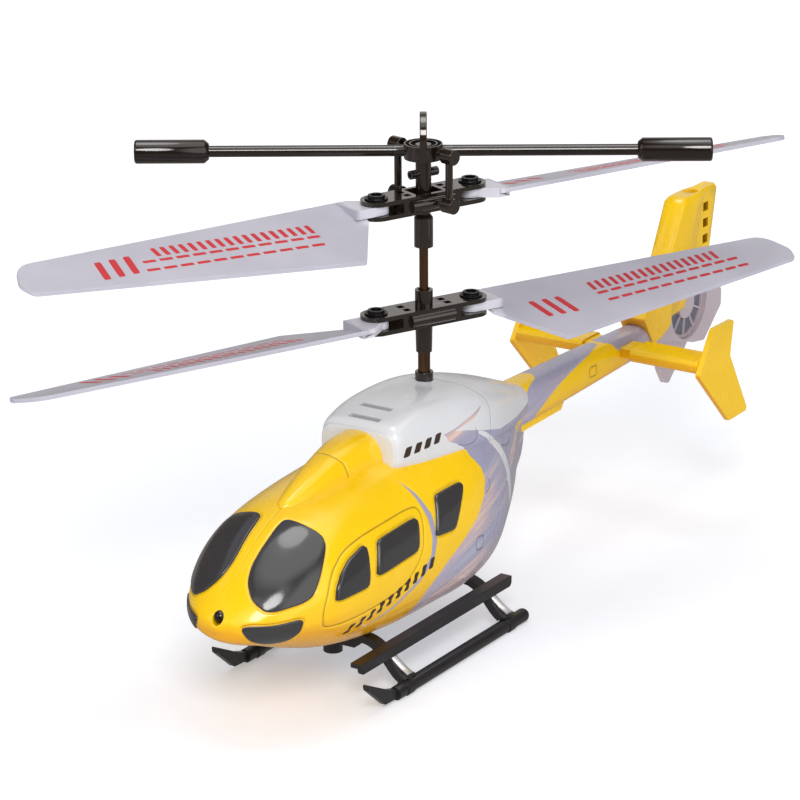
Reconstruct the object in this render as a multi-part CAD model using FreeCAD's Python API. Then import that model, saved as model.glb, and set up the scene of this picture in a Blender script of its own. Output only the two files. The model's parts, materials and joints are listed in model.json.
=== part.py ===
import FreeCAD, Part
import math
import os

# Toy coaxial helicopter. Millimetres, +Z up, nose along -Y, port side +X.
# Everything is drawn about the rotor mast, at ground level. The saved pieces are
# moved along Y so that the origin ends up under the middle of the whole model.

V = FreeCAD.Vector
X_AXIS = V(1, 0, 0)
Y_AXIS = V(0, 1, 0)
Z_AXIS = V(0, 0, 1)
ORIGIN = V(0, 0, 0)

# ---- driving dimensions --------------------------------------------------
LENGTH_MIDDLE = 20.075     # middle of the overall length, behind the mast
GROUND_Z = 0.9             # height of the flats under the runners before the last shift
WALL = 1.1                 # moulded shell thickness
GAP = 0.05                 # clearance between neighbouring pieces
ROTOR_RADIUS = 96.5
SPAN_UPPER = 67.2          # direction of the upper blades, degrees from +X
SPAN_LOWER = 65.1
FLYBAR_DIRECTION = 32.7
FLYBAR_LENGTH = 120.0
FLYBAR_Z = 105.5
UPPER_HUB_Z = 95.0
LOWER_HUB_Z = 70.0
SCREW_RADIUS = 11.85       # mast axis to blade screw
INNER_SHAFT_R = 0.95
OUTER_SHAFT_R = 1.3
OUTER_SHAFT_BORE = 1.0
ROOF_Z = 54.9              # cowl roof at the mast
SKID_HALF_TRACK = 18.8
RUNNER_R = 1.5
RUNNER_Z = 2.3
STAB_HALF_SPAN = 24.5

# fuselage cross-sections: y, half width, top z, widest z, bottom z, and the
# roundness exponents of the upper and the lower half (2 is an ellipse)
FUSELAGE = [
    (-77.2, 1.6, 26.0, 25.0, 24.0, 2.0, 2.0),
    (-76.2, 5.0, 27.6, 25.0, 22.4, 2.0, 2.0),
    (-73.5, 8.8, 30.6, 25.0, 20.8, 2.0, 1.9),
    (-68.0, 13.2, 35.6, 25.2, 18.8, 2.15, 1.8),
    (-61.0, 16.2, 40.4, 25.6, 16.0, 2.25, 1.9),
    (-53.0, 17.6, 43.6, 26.0, 13.4, 2.25, 2.1),
    (-42.0, 18.1, 45.4, 26.6, 11.4, 2.2, 2.3),
    (-30.0, 18.2, 46.6, 27.0, 10.4, 2.1, 2.5),
    (-16.0, 18.0, 47.6, 27.2, 10.0, 2.1, 2.6),
    (-4.0, 17.4, 48.0, 27.6, 9.8, 2.2, 2.7),
    (8.0, 14.8, 48.0, 28.4, 10.4, 2.2, 2.6),
    (18.0, 10.9, 47.2, 29.4, 12.6, 2.2, 2.3),
    (26.0, 7.2, 46.6, 31.0, 16.0, 2.2, 2.2),
    (33.0, 3.6, 45.6, 33.4, 20.6, 2.2, 2.1),
    (38.0, 1.9, 44.8, 36.0, 25.0, 2.1, 2.0),
]
# engine cowl: the same columns, boxier above
COWL = [
    (-25.2, 9.2, 52.0, 46.0, 42.0, 5.0, 2.0),
    (-23.0, 10.0, 53.6, 46.0, 41.0, 4.6, 2.0),
    (-14.0, 11.4, 55.2, 45.0, 39.0, 4.0, 2.0),
    (0.0, 12.6, 54.9, 44.0, 37.0, 3.6, 2.0),
    (10.0, 11.8, 53.4, 43.0, 36.0, 3.2, 2.0),
    (20.0, 9.6, 50.5, 42.0, 36.0, 3.0, 2.0),
    (28.0, 7.4, 47.4, 41.0, 36.0, 3.0, 2.0),
    (33.5, 5.6, 45.2, 41.0, 37.0, 3.0, 2.0),
]
# hump in front of the cowl
HUMP = [
    (-53.6, 0.8, 43.9, 43.3, 42.0, 2.0, 2.0),
    (-52.2, 2.1, 44.9, 43.0, 41.0, 2.0, 2.0),
    (-47.0, 3.5, 47.2, 43.2, 41.0, 2.1, 2.0),
    (-38.8, 4.7, 50.0, 44.0, 42.0, 2.2, 2.0),
    (-31.0, 5.7, 51.6, 44.6, 42.0, 2.3, 2.0),
    (-21.0, 6.8, 51.6, 45.0, 42.0, 2.3, 2.0),
]
# tail boom, flat-sided
BOOM = [
    (26.0, 4.4, 44.7, 39.5, 34.3, 3.2, 3.2),
    (60.0, 3.7, 43.9, 39.3, 34.8, 3.2, 3.2),
    (97.8, 2.9, 42.6, 39.1, 35.6, 3.0, 3.0),
]
SECTION_POINTS = 28
SMALLEST_SECTION = 0.35    # half size below which an inner section stops shrinking
ROW_SPACING = 0.8          # rows nearer than this to a moved end are left out

# window outlines on the port side
WINDSHIELD = [(2.4, -57.3, 42.1), (3.9, -56.1, 42.4), (10.6, -54.8, 40.0), (12.4, -55.9, 38.0),
              (14.2, -61.0, 33.0), (14.2, -64.4, 29.6), (9.3, -71.9, 28.3), (5.6, -72.4, 30.4),
              (3.0, -70.3, 33.2), (2.1, -67.0, 36.4)]
WINDSHIELD_FACING = V(0.42, -0.66, 0.62)
CHIN_WINDOW = [(5.2, -76.2, 25.9), (7.0, -75.0, 26.4), (10.4, -71.8, 26.2), (13.4, -67.4, 26.8),
               (14.0, -66.6, 26.2), (13.4, -67.0, 24.2), (11.1, -68.4, 21.9), (8.6, -71.0, 21.3),
               (6.4, -74.2, 23.1)]
CHIN_FACING = V(0.55, -0.80, -0.24)
QUARTER_WINDOW = [(-59.2, 28.2), (-58.4, 30.8), (-56.4, 33.2), (-53.2, 35.2), (-48.0, 36.6),
                  (-46.9, 35.9), (-48.7, 29.0), (-49.6, 28.4)]
DOOR_WINDOW = [(-45.9, 30.2), (-43.6, 35.6), (-42.4, 36.3), (-29.7, 36.8), (-28.6, 35.9),
               (-30.4, 31.0), (-31.6, 30.2), (-45.0, 29.5)]
REAR_WINDOW = [(-23.6, 31.4), (-20.6, 38.0), (-19.6, 38.6), (-11.0, 38.7), (-10.0, 37.8),
               (-15.8, 31.0), (-16.9, 30.3), (-23.0, 30.9)]
SIDE_FACING = V(1, 0, 0)
PANEL_PROUD = 0.35
PANEL_DEPTH = 1.5          # from the skin down to the backing strip

# gear train
MODULE = 0.3
BIG_TEETH = 70
SMALL_TEETH = 10
GEAR_CENTRES = 12.05       # a little over the pitch distance, for backlash
GEAR_THICKNESS = 2.4
INNER_GEAR_Z = 18.6
OUTER_GEAR_Z = 24.2
# tooth flanks: rise above the pitch circle in modules, half width as a share of the step
WHEEL_FLANKS = ((-1.25, 0.29), (0.0, 0.215), (0.9, 0.10))
PINION_FLANKS = ((-1.25, 0.26), (0.0, 0.20), (0.5, 0.14), (0.9, 0.07))

# main frame levels
DECK_Z = 15.0
DECK_T = 1.6
MID_PLATE_Z = 29.8
TOP_PLATE_Z = 41.0
MOTOR_R = 3.5
MOTOR_LENGTH = 13.0
BATTERY_T = 6.0
BOARD_Z = DECK_Z + DECK_T + BATTERY_T + 0.4
BOARD_POST_X = 8.6


# ---- small helpers ---------------------------------------------------------
def save(name, shape):
    placed = shape.copy()
    placed.translate(V(0, -LENGTH_MIDDLE, -GROUND_Z))
    placed.exportStep("parts/%s.step" % name)


def box(x0, x1, y0, y1, z0, z1):
    return Part.makeBox(x1 - x0, y1 - y0, z1 - z0, V(x0, y0, z0))


def rod(start, direction, length, radius):
    return Part.makeCylinder(radius, length, start, direction)


def post(x, y, z0, z1, radius):
    return Part.makeCylinder(radius, z1 - z0, V(x, y, z0), Z_AXIS)


def tube(x, y, z0, z1, outer, inner):
    return post(x, y, z0, z1, outer).cut(post(x, y, z0 - 1, z1 + 1, inner))


def cone(x, y, z0, z1, r0, r1):
    return Part.makeCone(r0, r1, z1 - z0, V(x, y, z0), Z_AXIS)


def turned(shape, degrees):
    copy = shape.copy()
    copy.rotate(ORIGIN, Z_AXIS, degrees)
    return copy


def mirrored(shape):
    return shape.mirror(ORIGIN, X_AXIS)


def slab(points, x0, x1):
    """A flat plate parallel to the YZ plane, from its (y, z) outline."""
    wire = Part.makePolygon([V(x0, y, z) for y, z in points] + [V(x0, points[0][0], points[0][1])])
    return Part.Face(wire).extrude(V(x1 - x0, 0, 0))


def rounded_slab(points, x0, x1, radius):
    plate = slab(points, x0, x1)
    corners = [e for e in plate.Edges if abs(e.BoundBox.XLength - (x1 - x0)) < 1e-6]
    return plate.makeFillet(radius, corners)


def flat(points, z0, z1):
    """A horizontal plate from its (x, y) outline."""
    wire = Part.makePolygon([V(x, y, z0) for x, y in points] + [V(points[0][0], points[0][1], z0)])
    return Part.Face(wire).extrude(V(0, 0, z1 - z0))


def section_points(row, offset):
    """Points round one body cross-section, grown outward by offset."""
    y, half_width, top, widest, bottom, upper_n, lower_n = row
    reach = max(half_width + offset, SMALLEST_SECTION)
    points = []
    for step in range(SECTION_POINTS):
        angle = -math.pi / 2 + 2 * math.pi * step / SECTION_POINTS
        c = math.cos(angle)
        s = math.sin(angle)
        power = 2.0 / (upper_n if s >= 0 else lower_n)
        height = max((top - widest if s >= 0 else widest - bottom) + offset, SMALLEST_SECTION)
        x = reach * math.copysign(abs(c) ** power, c)
        z = widest + height * math.copysign(abs(s) ** power, s)
        points.append(V(x, y, z))
    return points


def section_wire(row, offset):
    curve = Part.BSplineCurve()
    curve.interpolate(Points=section_points(row, offset), PeriodicFlag=True)
    return Part.Wire([curve.toShape()])


def body_loft(rows, offset, nose_shift=0.0, tail_shift=0.0):
    """A smooth solid through the rows, its two ends moved along Y."""
    first = list(rows[0])
    last = list(rows[-1])
    first[0] += nose_shift
    last[0] += tail_shift
    between = [row for row in rows[1:-1] if first[0] + ROW_SPACING < row[0] < last[0] - ROW_SPACING]
    moved = [first] + between + [last]
    wires = [section_wire(row, offset) for row in moved]
    return Part.makeLoft(wires, True, False, False)


def fuselage_loft(offset):
    return body_loft(FUSELAGE, offset, -offset, offset)


def row_at(rows, y):
    """The cross-section row at a place between two given rows."""
    for first, second in zip(rows, rows[1:]):
        if first[0] <= y <= second[0]:
            t = (y - first[0]) / (second[0] - first[0])
            return [a + (b - a) * t for a, b in zip(first, second)]
    return rows[-1]


def half_width_at(rows, y, z):
    _, half_width, top, widest, bottom, upper_n, lower_n = row_at(rows, y)
    if z >= widest:
        return half_width * (1 - ((z - widest) / (top - widest)) ** upper_n) ** (1 / upper_n)
    return half_width * (1 - ((widest - z) / (widest - bottom)) ** lower_n) ** (1 / lower_n)


def facing_prism(points, facing, shrink, depth=12.0):
    """A prism along facing whose outline passes through the given points."""
    direction = V(facing)
    direction.normalize()
    centre = V(0, 0, 0)
    for p in points:
        centre += p * (1.0 / len(points))
    outline = []
    for p in points:
        flat_point = p - direction * (p - centre).dot(direction)
        inward = centre - flat_point
        inward.normalize()
        outline.append(flat_point + inward * shrink - direction * (depth / 2))
    wire = Part.makePolygon(outline + [outline[0]])
    prism = Part.Face(wire).extrude(direction * depth)
    long_edges = [e for e in prism.Edges if abs(e.Length - depth) < 1e-6]
    return prism.makeFillet(0.35, long_edges)


def side_points(outline):
    return [V(14.0, y, z) for y, z in outline]


# ---- fuselage --------------------------------------------------------------
def window_prisms(shrink):
    prisms = {
        "windshield": facing_prism([V(*p) for p in WINDSHIELD], WINDSHIELD_FACING, shrink),
        "chin_window": facing_prism([V(*p) for p in CHIN_WINDOW], CHIN_FACING, shrink),
        "quarter_window": facing_prism(side_points(QUARTER_WINDOW), SIDE_FACING, shrink),
        "door_window": facing_prism(side_points(DOOR_WINDOW), SIDE_FACING, shrink),
        "rear_window": facing_prism(side_points(REAR_WINDOW), SIDE_FACING, shrink),
    }
    return prisms


SHELL_SCREWS = [(-60.0, 24.0), (-27.0, 42.0), (22.0, 19.0), (24.0, 37.5)]   # y, z
SHELL_SCREW_R = 0.7
BELLY_PORT = (5.0, 8.0, -19.0, -13.0)      # x0, x1, y0, y1 of a slot in each half
SWITCH_TRAVEL = 2.0
NOSE_LAMP = V(0, -78.0, 27.2)
NOSE_LAMP_R = 1.35


def shell_boss(y, z, core):
    reach = half_width_at(FUSELAGE, y, z)
    return rod(V(0, y, z), X_AXIS, reach, 1.8).common(core)


def make_fuselage():
    outer = fuselage_loft(0.0)
    inner = fuselage_loft(-WALL)
    core = fuselage_loft(-WALL / 2)
    port_side = box(GAP / 2, 30, -90, 60, 0, 60)
    half = outer.cut(inner).common(port_side)
    for y, z in SHELL_SCREWS:
        half = half.fuse(shell_boss(y, z, core).common(port_side))
    for prism in window_prisms(0.0).values():
        half = half.cut(prism)
    half = half.cut(post(0, 0, 40, 60, 5.0))
    x0, x1, y0, y1 = BELLY_PORT
    half = half.cut(box(x0, x1, y0, y1, 5, 14))
    half = half.cut(rod(NOSE_LAMP, Y_AXIS, 6, NOSE_LAMP_R + GAP))
    for y in (STRUT_Y[0], STRUT_Y[1]):
        half = half.cut(post(0, y, 5, 14, SKID_SCREW_R + 0.1))
    left = half
    right = mirrored(half)
    for y, z in SHELL_SCREWS:
        reach = half_width_at(FUSELAGE, y, z)
        left = left.cut(rod(V(-1, y, z), X_AXIS, min(6.0, reach - 1.5) + 1, SHELL_SCREW_R + GAP))
        right = right.cut(rod(V(1, y, z), -X_AXIS, 30, SHELL_SCREW_R + GAP))
        right = right.cut(rod(V(-(reach - 2.0), y, z), -X_AXIS, 5, 1.5))
    save("fuselage_shell_left", left)
    save("fuselage_shell_right", right)


def make_glazing():
    """Raised dark panes on a strip that clips behind the shell, one front and one side moulding."""
    skin = fuselage_loft(PANEL_PROUD).cut(fuselage_loft(-PANEL_DEPTH))
    backing = fuselage_loft(-WALL - GAP).cut(fuselage_loft(-WALL - 0.75))
    port_side = box(0.5, 30, -90, 60, 0, 60)
    panes = window_prisms(2 * GAP)
    strips = {
        "front_glazing": (("windshield", "chin_window"), box(6.6, 12.4, -75, -60, 24.0, 31.5)),
        "side_glazing": (("quarter_window", "door_window", "rear_window"),
                         box(10, 20, -58, -12, 31.2, 34.6)),
    }
    for name, (members, region) in strips.items():
        moulding = backing.common(region)
        for member in members:
            moulding = moulding.fuse(skin.common(panes[member]).common(port_side))
        save(name + "_left", moulding.removeSplitter())
        save(name + "_right", mirrored(moulding))


def make_shell_screws():
    screws = []
    for y, z in SHELL_SCREWS:
        reach = half_width_at(FUSELAGE, y, z)
        head_face = reach - 2.0
        tip = min(6.0, reach - 1.5) - 0.3
        shank = rod(V(-head_face, y, z), X_AXIS, head_face + tip, SHELL_SCREW_R)
        head = rod(V(-head_face, y, z), -X_AXIS, 0.9, 1.3)
        slot = box(-head_face - 1, -head_face - 0.5, y - 1, y + 1, z - 0.2, z + 0.2)
        screws.append(shank.fuse(head).cut(slot))
    save("shell_screws", Part.makeCompound(screws))


def make_nose_lamp():
    lamp = rod(NOSE_LAMP + V(0, 2.6, 0), Y_AXIS, 3.6, NOSE_LAMP_R)
    dome = Part.makeSphere(NOSE_LAMP_R, NOSE_LAMP + V(0, 2.6, 0))
    dome = dome.common(box(-3, 3, -90, -75.4, 20, 32))
    flange = rod(NOSE_LAMP + V(0, 5.4, 0), Y_AXIS, 0.8, 1.7)
    save("nose_lamp", lamp.fuse(dome).fuse(flange).removeSplitter())


# ---- covers ----------------------------------------------------------------
def make_covers(boom_solid):
    body = fuselage_loft(GAP)
    cowl_outer = body_loft(COWL, 0.0)
    cowl_inner = body_loft(COWL, -WALL, WALL, -WALL)
    cowl = cowl_outer.cut(cowl_inner).cut(body).cut(boom_solid)
    slots = [box(-3.8, 3.8, y - 0.6, y + 0.6, 50, 60) for y in (-22.9, -18.5)]
    for slot in slots:
        cowl = cowl.cut(slot)
    fairing = cone(0, 0, ROOF_Z - 0.8, ROOF_Z + 0.2, 4.2, 2.6)
    cowl = cowl.fuse(fairing).cut(post(0, 0, 40, 60, 1.75))
    solids = sorted(cowl.Solids, key=lambda s: -s.Volume)
    save("engine_cowl", solids[0])
    hump = body_loft(HUMP, 0.0)
    hump = hump.cut(body).cut(body_loft(COWL, GAP, -GAP, GAP))
    solids = sorted(hump.Solids, key=lambda s: -s.Volume)
    save("roof_hump", solids[0])
    stem = tube(0, 0, TOP_PLATE_Z + 3.2, ROOF_Z + 0.3, 1.7, OUTER_SHAFT_R + GAP)
    lip = tube(0, 0, ROOF_Z + 0.2 + GAP, ROOF_Z + 2.4, 1.95, OUTER_SHAFT_R + GAP)
    save("mast_bearing_cap", stem.fuse(lip).removeSplitter())


# ---- tail ------------------------------------------------------------------
STAB_Y = (77.0, 86.0)
STAB_Z = 40.0
# fin outline: z, leading edge y, trailing edge y, half thickness
FIN_LEVELS = [(42.0, 94.3, 121.0, 2.8), (56.5, 102.0, 124.1, 2.9), (67.8, 108.0, 126.5, 2.9)]
FIN_TOP = (68.8, 109.2, 126.0, 2.3)
FIN_SHAPE = [(0.0, 0.0), (0.005, 0.70), (0.05, 0.93), (0.14, 1.0), (0.42, 1.0), (0.60, 0.78),
             (0.66, 0.66), (0.97, 0.66), (1.0, 0.50)]      # share of chord, share of thickness
FIN_SKIRT = [(89.1, 44.8), (93.8, 37.7), (98.4, 38.8), (101.9, 40.5), (102.0, 45.4),
             (108.6, 46.3), (108.0, 49.4), (92.0, 49.4)]
FIN_SKIRT_HALF = 3.5
FIN_SLOT_Y = 120.8
FIN_SLOT_TOP_Z = 64.3
FIN_SLOT_STEP = 3.95
FIN_SOCKET_Y = 116.6
FIN_SOCKET_R = 1.7
DUCT = [(98.0, 44.0), (98.0, 36.6), (107.7, 34.5), (115.9, 31.9), (121.3, 31.0), (129.5, 37.8),
        (129.6, 41.4), (127.4, 45.0), (122.5, 51.0), (112.0, 52.6), (102.0, 51.0)]
DUCT_CENTRE = (113.6, 42.2)
DUCT_R = 8.6
DUCT_HUB_R = 3.7
DUCT_HALF = 1.9
VENTRAL_FIN = [(100.8, 36.0), (102.2, 28.6), (104.9, 24.6), (106.4, 24.4), (116.0, 33.0)]
END_PLATE = [(76.1, 38.5), (90.9, 23.8), (100.1, 23.9), (90.8, 39.7), (92.3, 48.0), (82.8, 48.1)]


def make_boom():
    outer = body_loft(BOOM, 0.0)
    inner = body_loft(BOOM, -WALL, -1.0, -WALL)
    keel = rounded_slab([(34.0, 33.2), (53.0, 33.5), (54.8, 35.8), (34.0, 35.8)], -2.6, 2.6, 0.6)
    body = fuselage_loft(GAP)
    boom = outer.cut(inner).fuse(keel.cut(inner)).cut(body)
    slot = box(-9, 9, STAB_Y[0] + 1.2, STAB_Y[1] - 1.2, STAB_Z - 1.1, STAB_Z + 1.1)
    boom = boom.cut(slot)
    solids = sorted(boom.Solids, key=lambda s: -s.Volume)
    save("tail_boom", solids[0])
    return body_loft(BOOM, GAP).fuse(keel)


def fin_section(z, lead, trail, half):
    chord = trail - lead
    port = [V(share * half, lead + along * chord, z) for along, share in FIN_SHAPE]
    starboard = [V(-p.x, p.y, p.z) for p in reversed(port[1:])]
    points = port + starboard
    return Part.makePolygon(points + [points[0]])


def make_fin(boom_solid):
    fin = Part.makeLoft([fin_section(*level) for level in FIN_LEVELS], True, True, False)
    cap = Part.makeLoft([fin_section(*FIN_LEVELS[-1]), fin_section(*FIN_TOP)], True, True, False)
    fin = fin.fuse(cap)
    skirt = rounded_slab(FIN_SKIRT, -FIN_SKIRT_HALF, FIN_SKIRT_HALF, 0.6)
    fin = fin.fuse(skirt).cut(boom_solid)
    pocket = rounded_slab(DUCT, -DUCT_HALF - GAP, DUCT_HALF + GAP, 1.2)
    fin = fin.cut(pocket)
    for level in range(3):
        z = FIN_SLOT_TOP_Z - FIN_SLOT_STEP * level
        fin = fin.cut(box(-4, 4, FIN_SLOT_Y - 1.2, FIN_SLOT_Y + 1.2, z - 1.05, z + 1.05))
    fin = fin.cut(post(0, FIN_SOCKET_Y, 61.0, 75, FIN_SOCKET_R))
    solids = sorted(fin.Solids, key=lambda s: -s.Volume)
    save("vertical_fin", solids[0])


def make_duct(boom_solid):
    cy, cz = DUCT_CENTRE
    duct = rounded_slab(DUCT, -DUCT_HALF, DUCT_HALF, 1.2)
    ventral = rounded_slab(VENTRAL_FIN, -0.8, 0.8, 0.5)
    duct = duct.fuse(ventral).cut(rod(V(-9, cy, cz), X_AXIS, 18, DUCT_R)).cut(boom_solid)
    solids = sorted(duct.removeSplitter().Solids, key=lambda s: -s.Volume)
    save("fan_duct", solids[0])


def make_tail(boom_solid):
    make_fin(boom_solid)
    make_duct(boom_solid)
    make_fan(*DUCT_CENTRE)
    make_stabilizer()


def make_fan(cy, cz):
    """The fixed dummy tail fan: a hub, thin spokes and a backing web."""
    fan = rod(V(-1.2, cy, cz), X_AXIS, 2.4, DUCT_HUB_R)
    rim = rod(V(-0.9, cy, cz), X_AXIS, 1.8, DUCT_R - GAP)
    rim = rim.cut(rod(V(-2, cy, cz), X_AXIS, 4, DUCT_R - 0.8))
    fan = fan.fuse(rod(V(-0.4, cy, cz), X_AXIS, 0.8, DUCT_R - 0.4)).fuse(rim)
    for spoke in range(10):
        arm = box(-0.9, 0.9, cy + DUCT_HUB_R - 0.5, cy + DUCT_R - 0.4, cz - 0.22, cz + 0.22)
        arm.rotate(V(0, cy, cz), X_AXIS, 36 * spoke + 12)
        fan = fan.fuse(arm)
    save("tail_fan", fan.removeSplitter())


def make_stabilizer():
    y0, y1 = STAB_Y
    spar = box(-STAB_HALF_SPAN + 0.6, STAB_HALF_SPAN - 0.6, y0 + 1.25, y1 - 1.25,
               STAB_Z - 1.05, STAB_Z + 1.05)
    wing = box(6.4, STAB_HALF_SPAN - 0.65, y0, y1, STAB_Z - 1.5, STAB_Z + 1.5)
    long_edges = [e for e in wing.Edges if abs(e.BoundBox.XLength - (STAB_HALF_SPAN - 7.05)) < 1e-6]
    wing = wing.makeFillet(1.2, long_edges)
    stab = spar.fuse(wing).fuse(mirrored(wing)).removeSplitter()
    save("horizontal_stabilizer", stab)
    plate = rounded_slab(END_PLATE, STAB_HALF_SPAN - 0.6, STAB_HALF_SPAN + 0.6, 0.8)
    plate = plate.cut(box(20, STAB_HALF_SPAN - 0.5, y0 + 1.2, y1 - 1.2, STAB_Z - 1.1, STAB_Z + 1.1))
    save("end_plate_left", plate)
    save("end_plate_right", mirrored(plate))


# ---- landing gear ------------------------------------------------------------
STRUT_Y = (-35.7, 3.6)
SKID_SCREW_R = 0.8
RAIL_X = 15.3
RAIL_TOP = 10.3
RAIL_DEPTH = 2.4
RUNNER_Y = (-41.0, 11.0)
FOOT_PIN_R = 0.8
FOOT_PIN_Z = (1.5, 4.7)
TOE = [(-52.0, 8.3), (-51.7, 6.9), (-45.6, 1.7), (-40.6, 1.5), (-40.6, 3.3), (-44.1, 4.4)]


def make_runner():
    y0, y1 = RUNNER_Y
    x = SKID_HALF_TRACK
    runner = rod(V(x, y0, RUNNER_Z), Y_AXIS, y1 - y0 - RUNNER_R, RUNNER_R)
    runner = runner.fuse(Part.makeSphere(RUNNER_R, V(x, y1 - RUNNER_R, RUNNER_Z)))
    for y in (STRUT_Y[0] - 2.2, STRUT_Y[1] - 1.4):
        runner = runner.fuse(rod(V(x, y, RUNNER_Z), Y_AXIS, 2.4, RUNNER_R + 0.2))
    toe = rounded_slab(TOE, x - 0.7, x + 0.7, 0.3)
    runner = runner.fuse(toe)
    runner = runner.cut(box(x - 5, x + 5, -60, 20, -2, GROUND_Z))
    for y in STRUT_Y:
        runner = runner.cut(post(x, y, FOOT_PIN_Z[0] - GAP, 6, FOOT_PIN_R + GAP))
    return runner.removeSplitter()


def make_rail():
    y0, y1 = -48.0, 11.0
    flange = box(RAIL_X - 2.8, RAIL_X, y0, y1, RAIL_TOP - 1.1, RAIL_TOP)
    web = box(RAIL_X - 1.1, RAIL_X, y0, y1, RAIL_TOP - RAIL_DEPTH, RAIL_TOP)
    low_corners = [e for e in web.Edges
                   if abs(e.BoundBox.XLength - 1.1) < 1e-6 and e.BoundBox.ZMax < RAIL_TOP - 1.2]
    web = web.makeFillet(1.1, low_corners)
    return flange.fuse(web).removeSplitter()


def strut_arm(y):
    """One arm: out of the belly, arched over to the rail, down to the runner."""
    path = [(5.0, 9.6), (8.5, 10.6), (12.0, 9.2), (14.6, 6.7), (SKID_HALF_TRACK, 3.7)]
    half_length = [1.3, 1.3, 1.4, 1.6, 2.1]
    rows = []
    for index, ((x, z), half) in enumerate(zip(path, half_length)):
        before = path[max(index - 1, 0)]
        after = path[min(index + 1, len(path) - 1)]
        run = V(after[0] - before[0], 0, after[1] - before[1])
        run.normalize()
        normal = V(-run.z, 0, run.x)
        centre = V(x, y, z)
        corners = []
        for along, out in ((-1, -1), (1, -1), (1, 1), (-1, 1)):
            corners.append(centre + V(0, along * half, 0) + normal * (out * 0.85))
        rows.append(Part.makePolygon(corners + [corners[0]]))
    return Part.makeLoft(rows, True, False, False)


def make_strut(y, boss_bottom, body, rail, runner):
    arm = strut_arm(y).cut(rail).cut(runner)
    arm = arm.fuse(post(SKID_HALF_TRACK, y, FOOT_PIN_Z[0], FOOT_PIN_Z[1], FOOT_PIN_R))
    bar = box(-6.2, 6.2, y - 1.3, y + 1.3, 8.3, 14.0)
    boss = post(0, y, boss_bottom, 12.0, 2.05)
    strut = bar.fuse(arm).fuse(mirrored(arm)).fuse(boss).cut(body)
    strut = strut.cut(post(0, y, 0, 20, SKID_SCREW_R + 0.1))
    strut = strut.cut(post(0, y, 0, boss_bottom + 1.4, 1.45))
    solids = sorted(strut.removeSplitter().Solids, key=lambda s: -s.Volume)
    return solids[0]


def make_landing_gear():
    runner = make_runner()
    rail = make_rail()
    body = fuselage_loft(GAP)
    rail_zone = box(RAIL_X - 2.85, RAIL_X + 0.05, -48.1, 11.1, RAIL_TOP - 1.15, RAIL_TOP + 2)
    rail_zone = rail_zone.fuse(box(RAIL_X - 1.15, RAIL_X + 0.05, -48.1, 11.1,
                                   RAIL_TOP - RAIL_DEPTH - 0.05, RAIL_TOP + 2))
    runner_zone = rod(V(SKID_HALF_TRACK, -60, RUNNER_Z), Y_AXIS, 80, RUNNER_R + 0.25)
    save("skid_runner_left", runner)
    save("skid_runner_right", mirrored(runner))
    save("step_rail_left", rail)
    save("step_rail_right", mirrored(rail))
    save("skid_strut_front", make_strut(STRUT_Y[0], 6.0, body, rail_zone, runner_zone))
    save("skid_strut_rear", make_strut(STRUT_Y[1], 7.2, body, rail_zone, runner_zone))
    screws = []
    for y, bottom in zip(STRUT_Y, (6.0, 7.2)):
        head = post(0, y, bottom + 0.4, bottom + 1.4, 1.4)
        shank = post(0, y, bottom + 1.4, DECK_Z - 0.4, SKID_SCREW_R)
        cross = box(-0.9, 0.9, y - 0.2, y + 0.2, bottom, bottom + 0.9)
        screws.append(head.fuse(shank).cut(cross))
    save("skid_screws", Part.makeCompound(screws))


# ---- inside the fuselage -------------------------------------------------------
def make_frame():
    deck_outline = [(-9.6, -42.5), (9.6, -42.5), (10.8, -18), (10.8, 3), (5.6, 17.4), (-5.6, 17.4),
                    (-10.8, 3), (-10.8, -18)]
    mid_outline = [(-9.5, -17.4), (9.5, -17.4), (9.5, 6), (5.6, 17.4), (-5.6, 17.4), (-9.5, 6)]
    frame = flat(deck_outline, DECK_Z, DECK_Z + DECK_T)
    frame = frame.fuse(flat(mid_outline, MID_PLATE_Z, MID_PLATE_Z + DECK_T))
    frame = frame.fuse(box(-4.6, 4.6, -17.4, 17.4, TOP_PLATE_Z, TOP_PLATE_Z + DECK_T))
    for y0, y1 in ((-17.4, -16.0), (16.0, 17.4)):
        frame = frame.fuse(box(-4.0, 4.0, y0, y1, DECK_Z, TOP_PLATE_Z + DECK_T))
    for x in (-BOARD_POST_X, BOARD_POST_X):
        for y in (-41.0, -20.0):
            frame = frame.fuse(post(x, y, DECK_Z + DECK_T, BOARD_Z, 0.9))
    inside = fuselage_loft(-WALL - GAP)
    keel = box(-2.6, 2.6, -42, 8, 8, DECK_Z + 0.5).common(inside)
    frame = frame.fuse(keel)
    for y in (-12.0, 12.0):
        frame = frame.cut(post(0, y, MID_PLATE_Z - 1, MID_PLATE_Z + 3, 1.2))
        frame = frame.cut(post(0, y, TOP_PLATE_Z - 1, TOP_PLATE_Z + 3, MOTOR_R + GAP))
    frame = frame.cut(post(0, 0, 5, DECK_Z + 3, 1.8))
    frame = frame.cut(post(0, 0, MID_PLATE_Z - 1, TOP_PLATE_Z + 4, 2.3))
    for y in STRUT_Y:
        frame = frame.cut(post(0, y, 5, DECK_Z - 0.3, SKID_SCREW_R + GAP))
    save("main_frame", frame.common(inside).removeSplitter())


def flanged_bush(z0, z1, flange_z, outer, shaft_radius):
    seat = tube(0, 0, z0, z1, outer, shaft_radius + GAP)
    flange = tube(0, 0, flange_z, flange_z + 0.6, outer + 0.8, shaft_radius + GAP)
    return seat.fuse(flange).removeSplitter()


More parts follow.
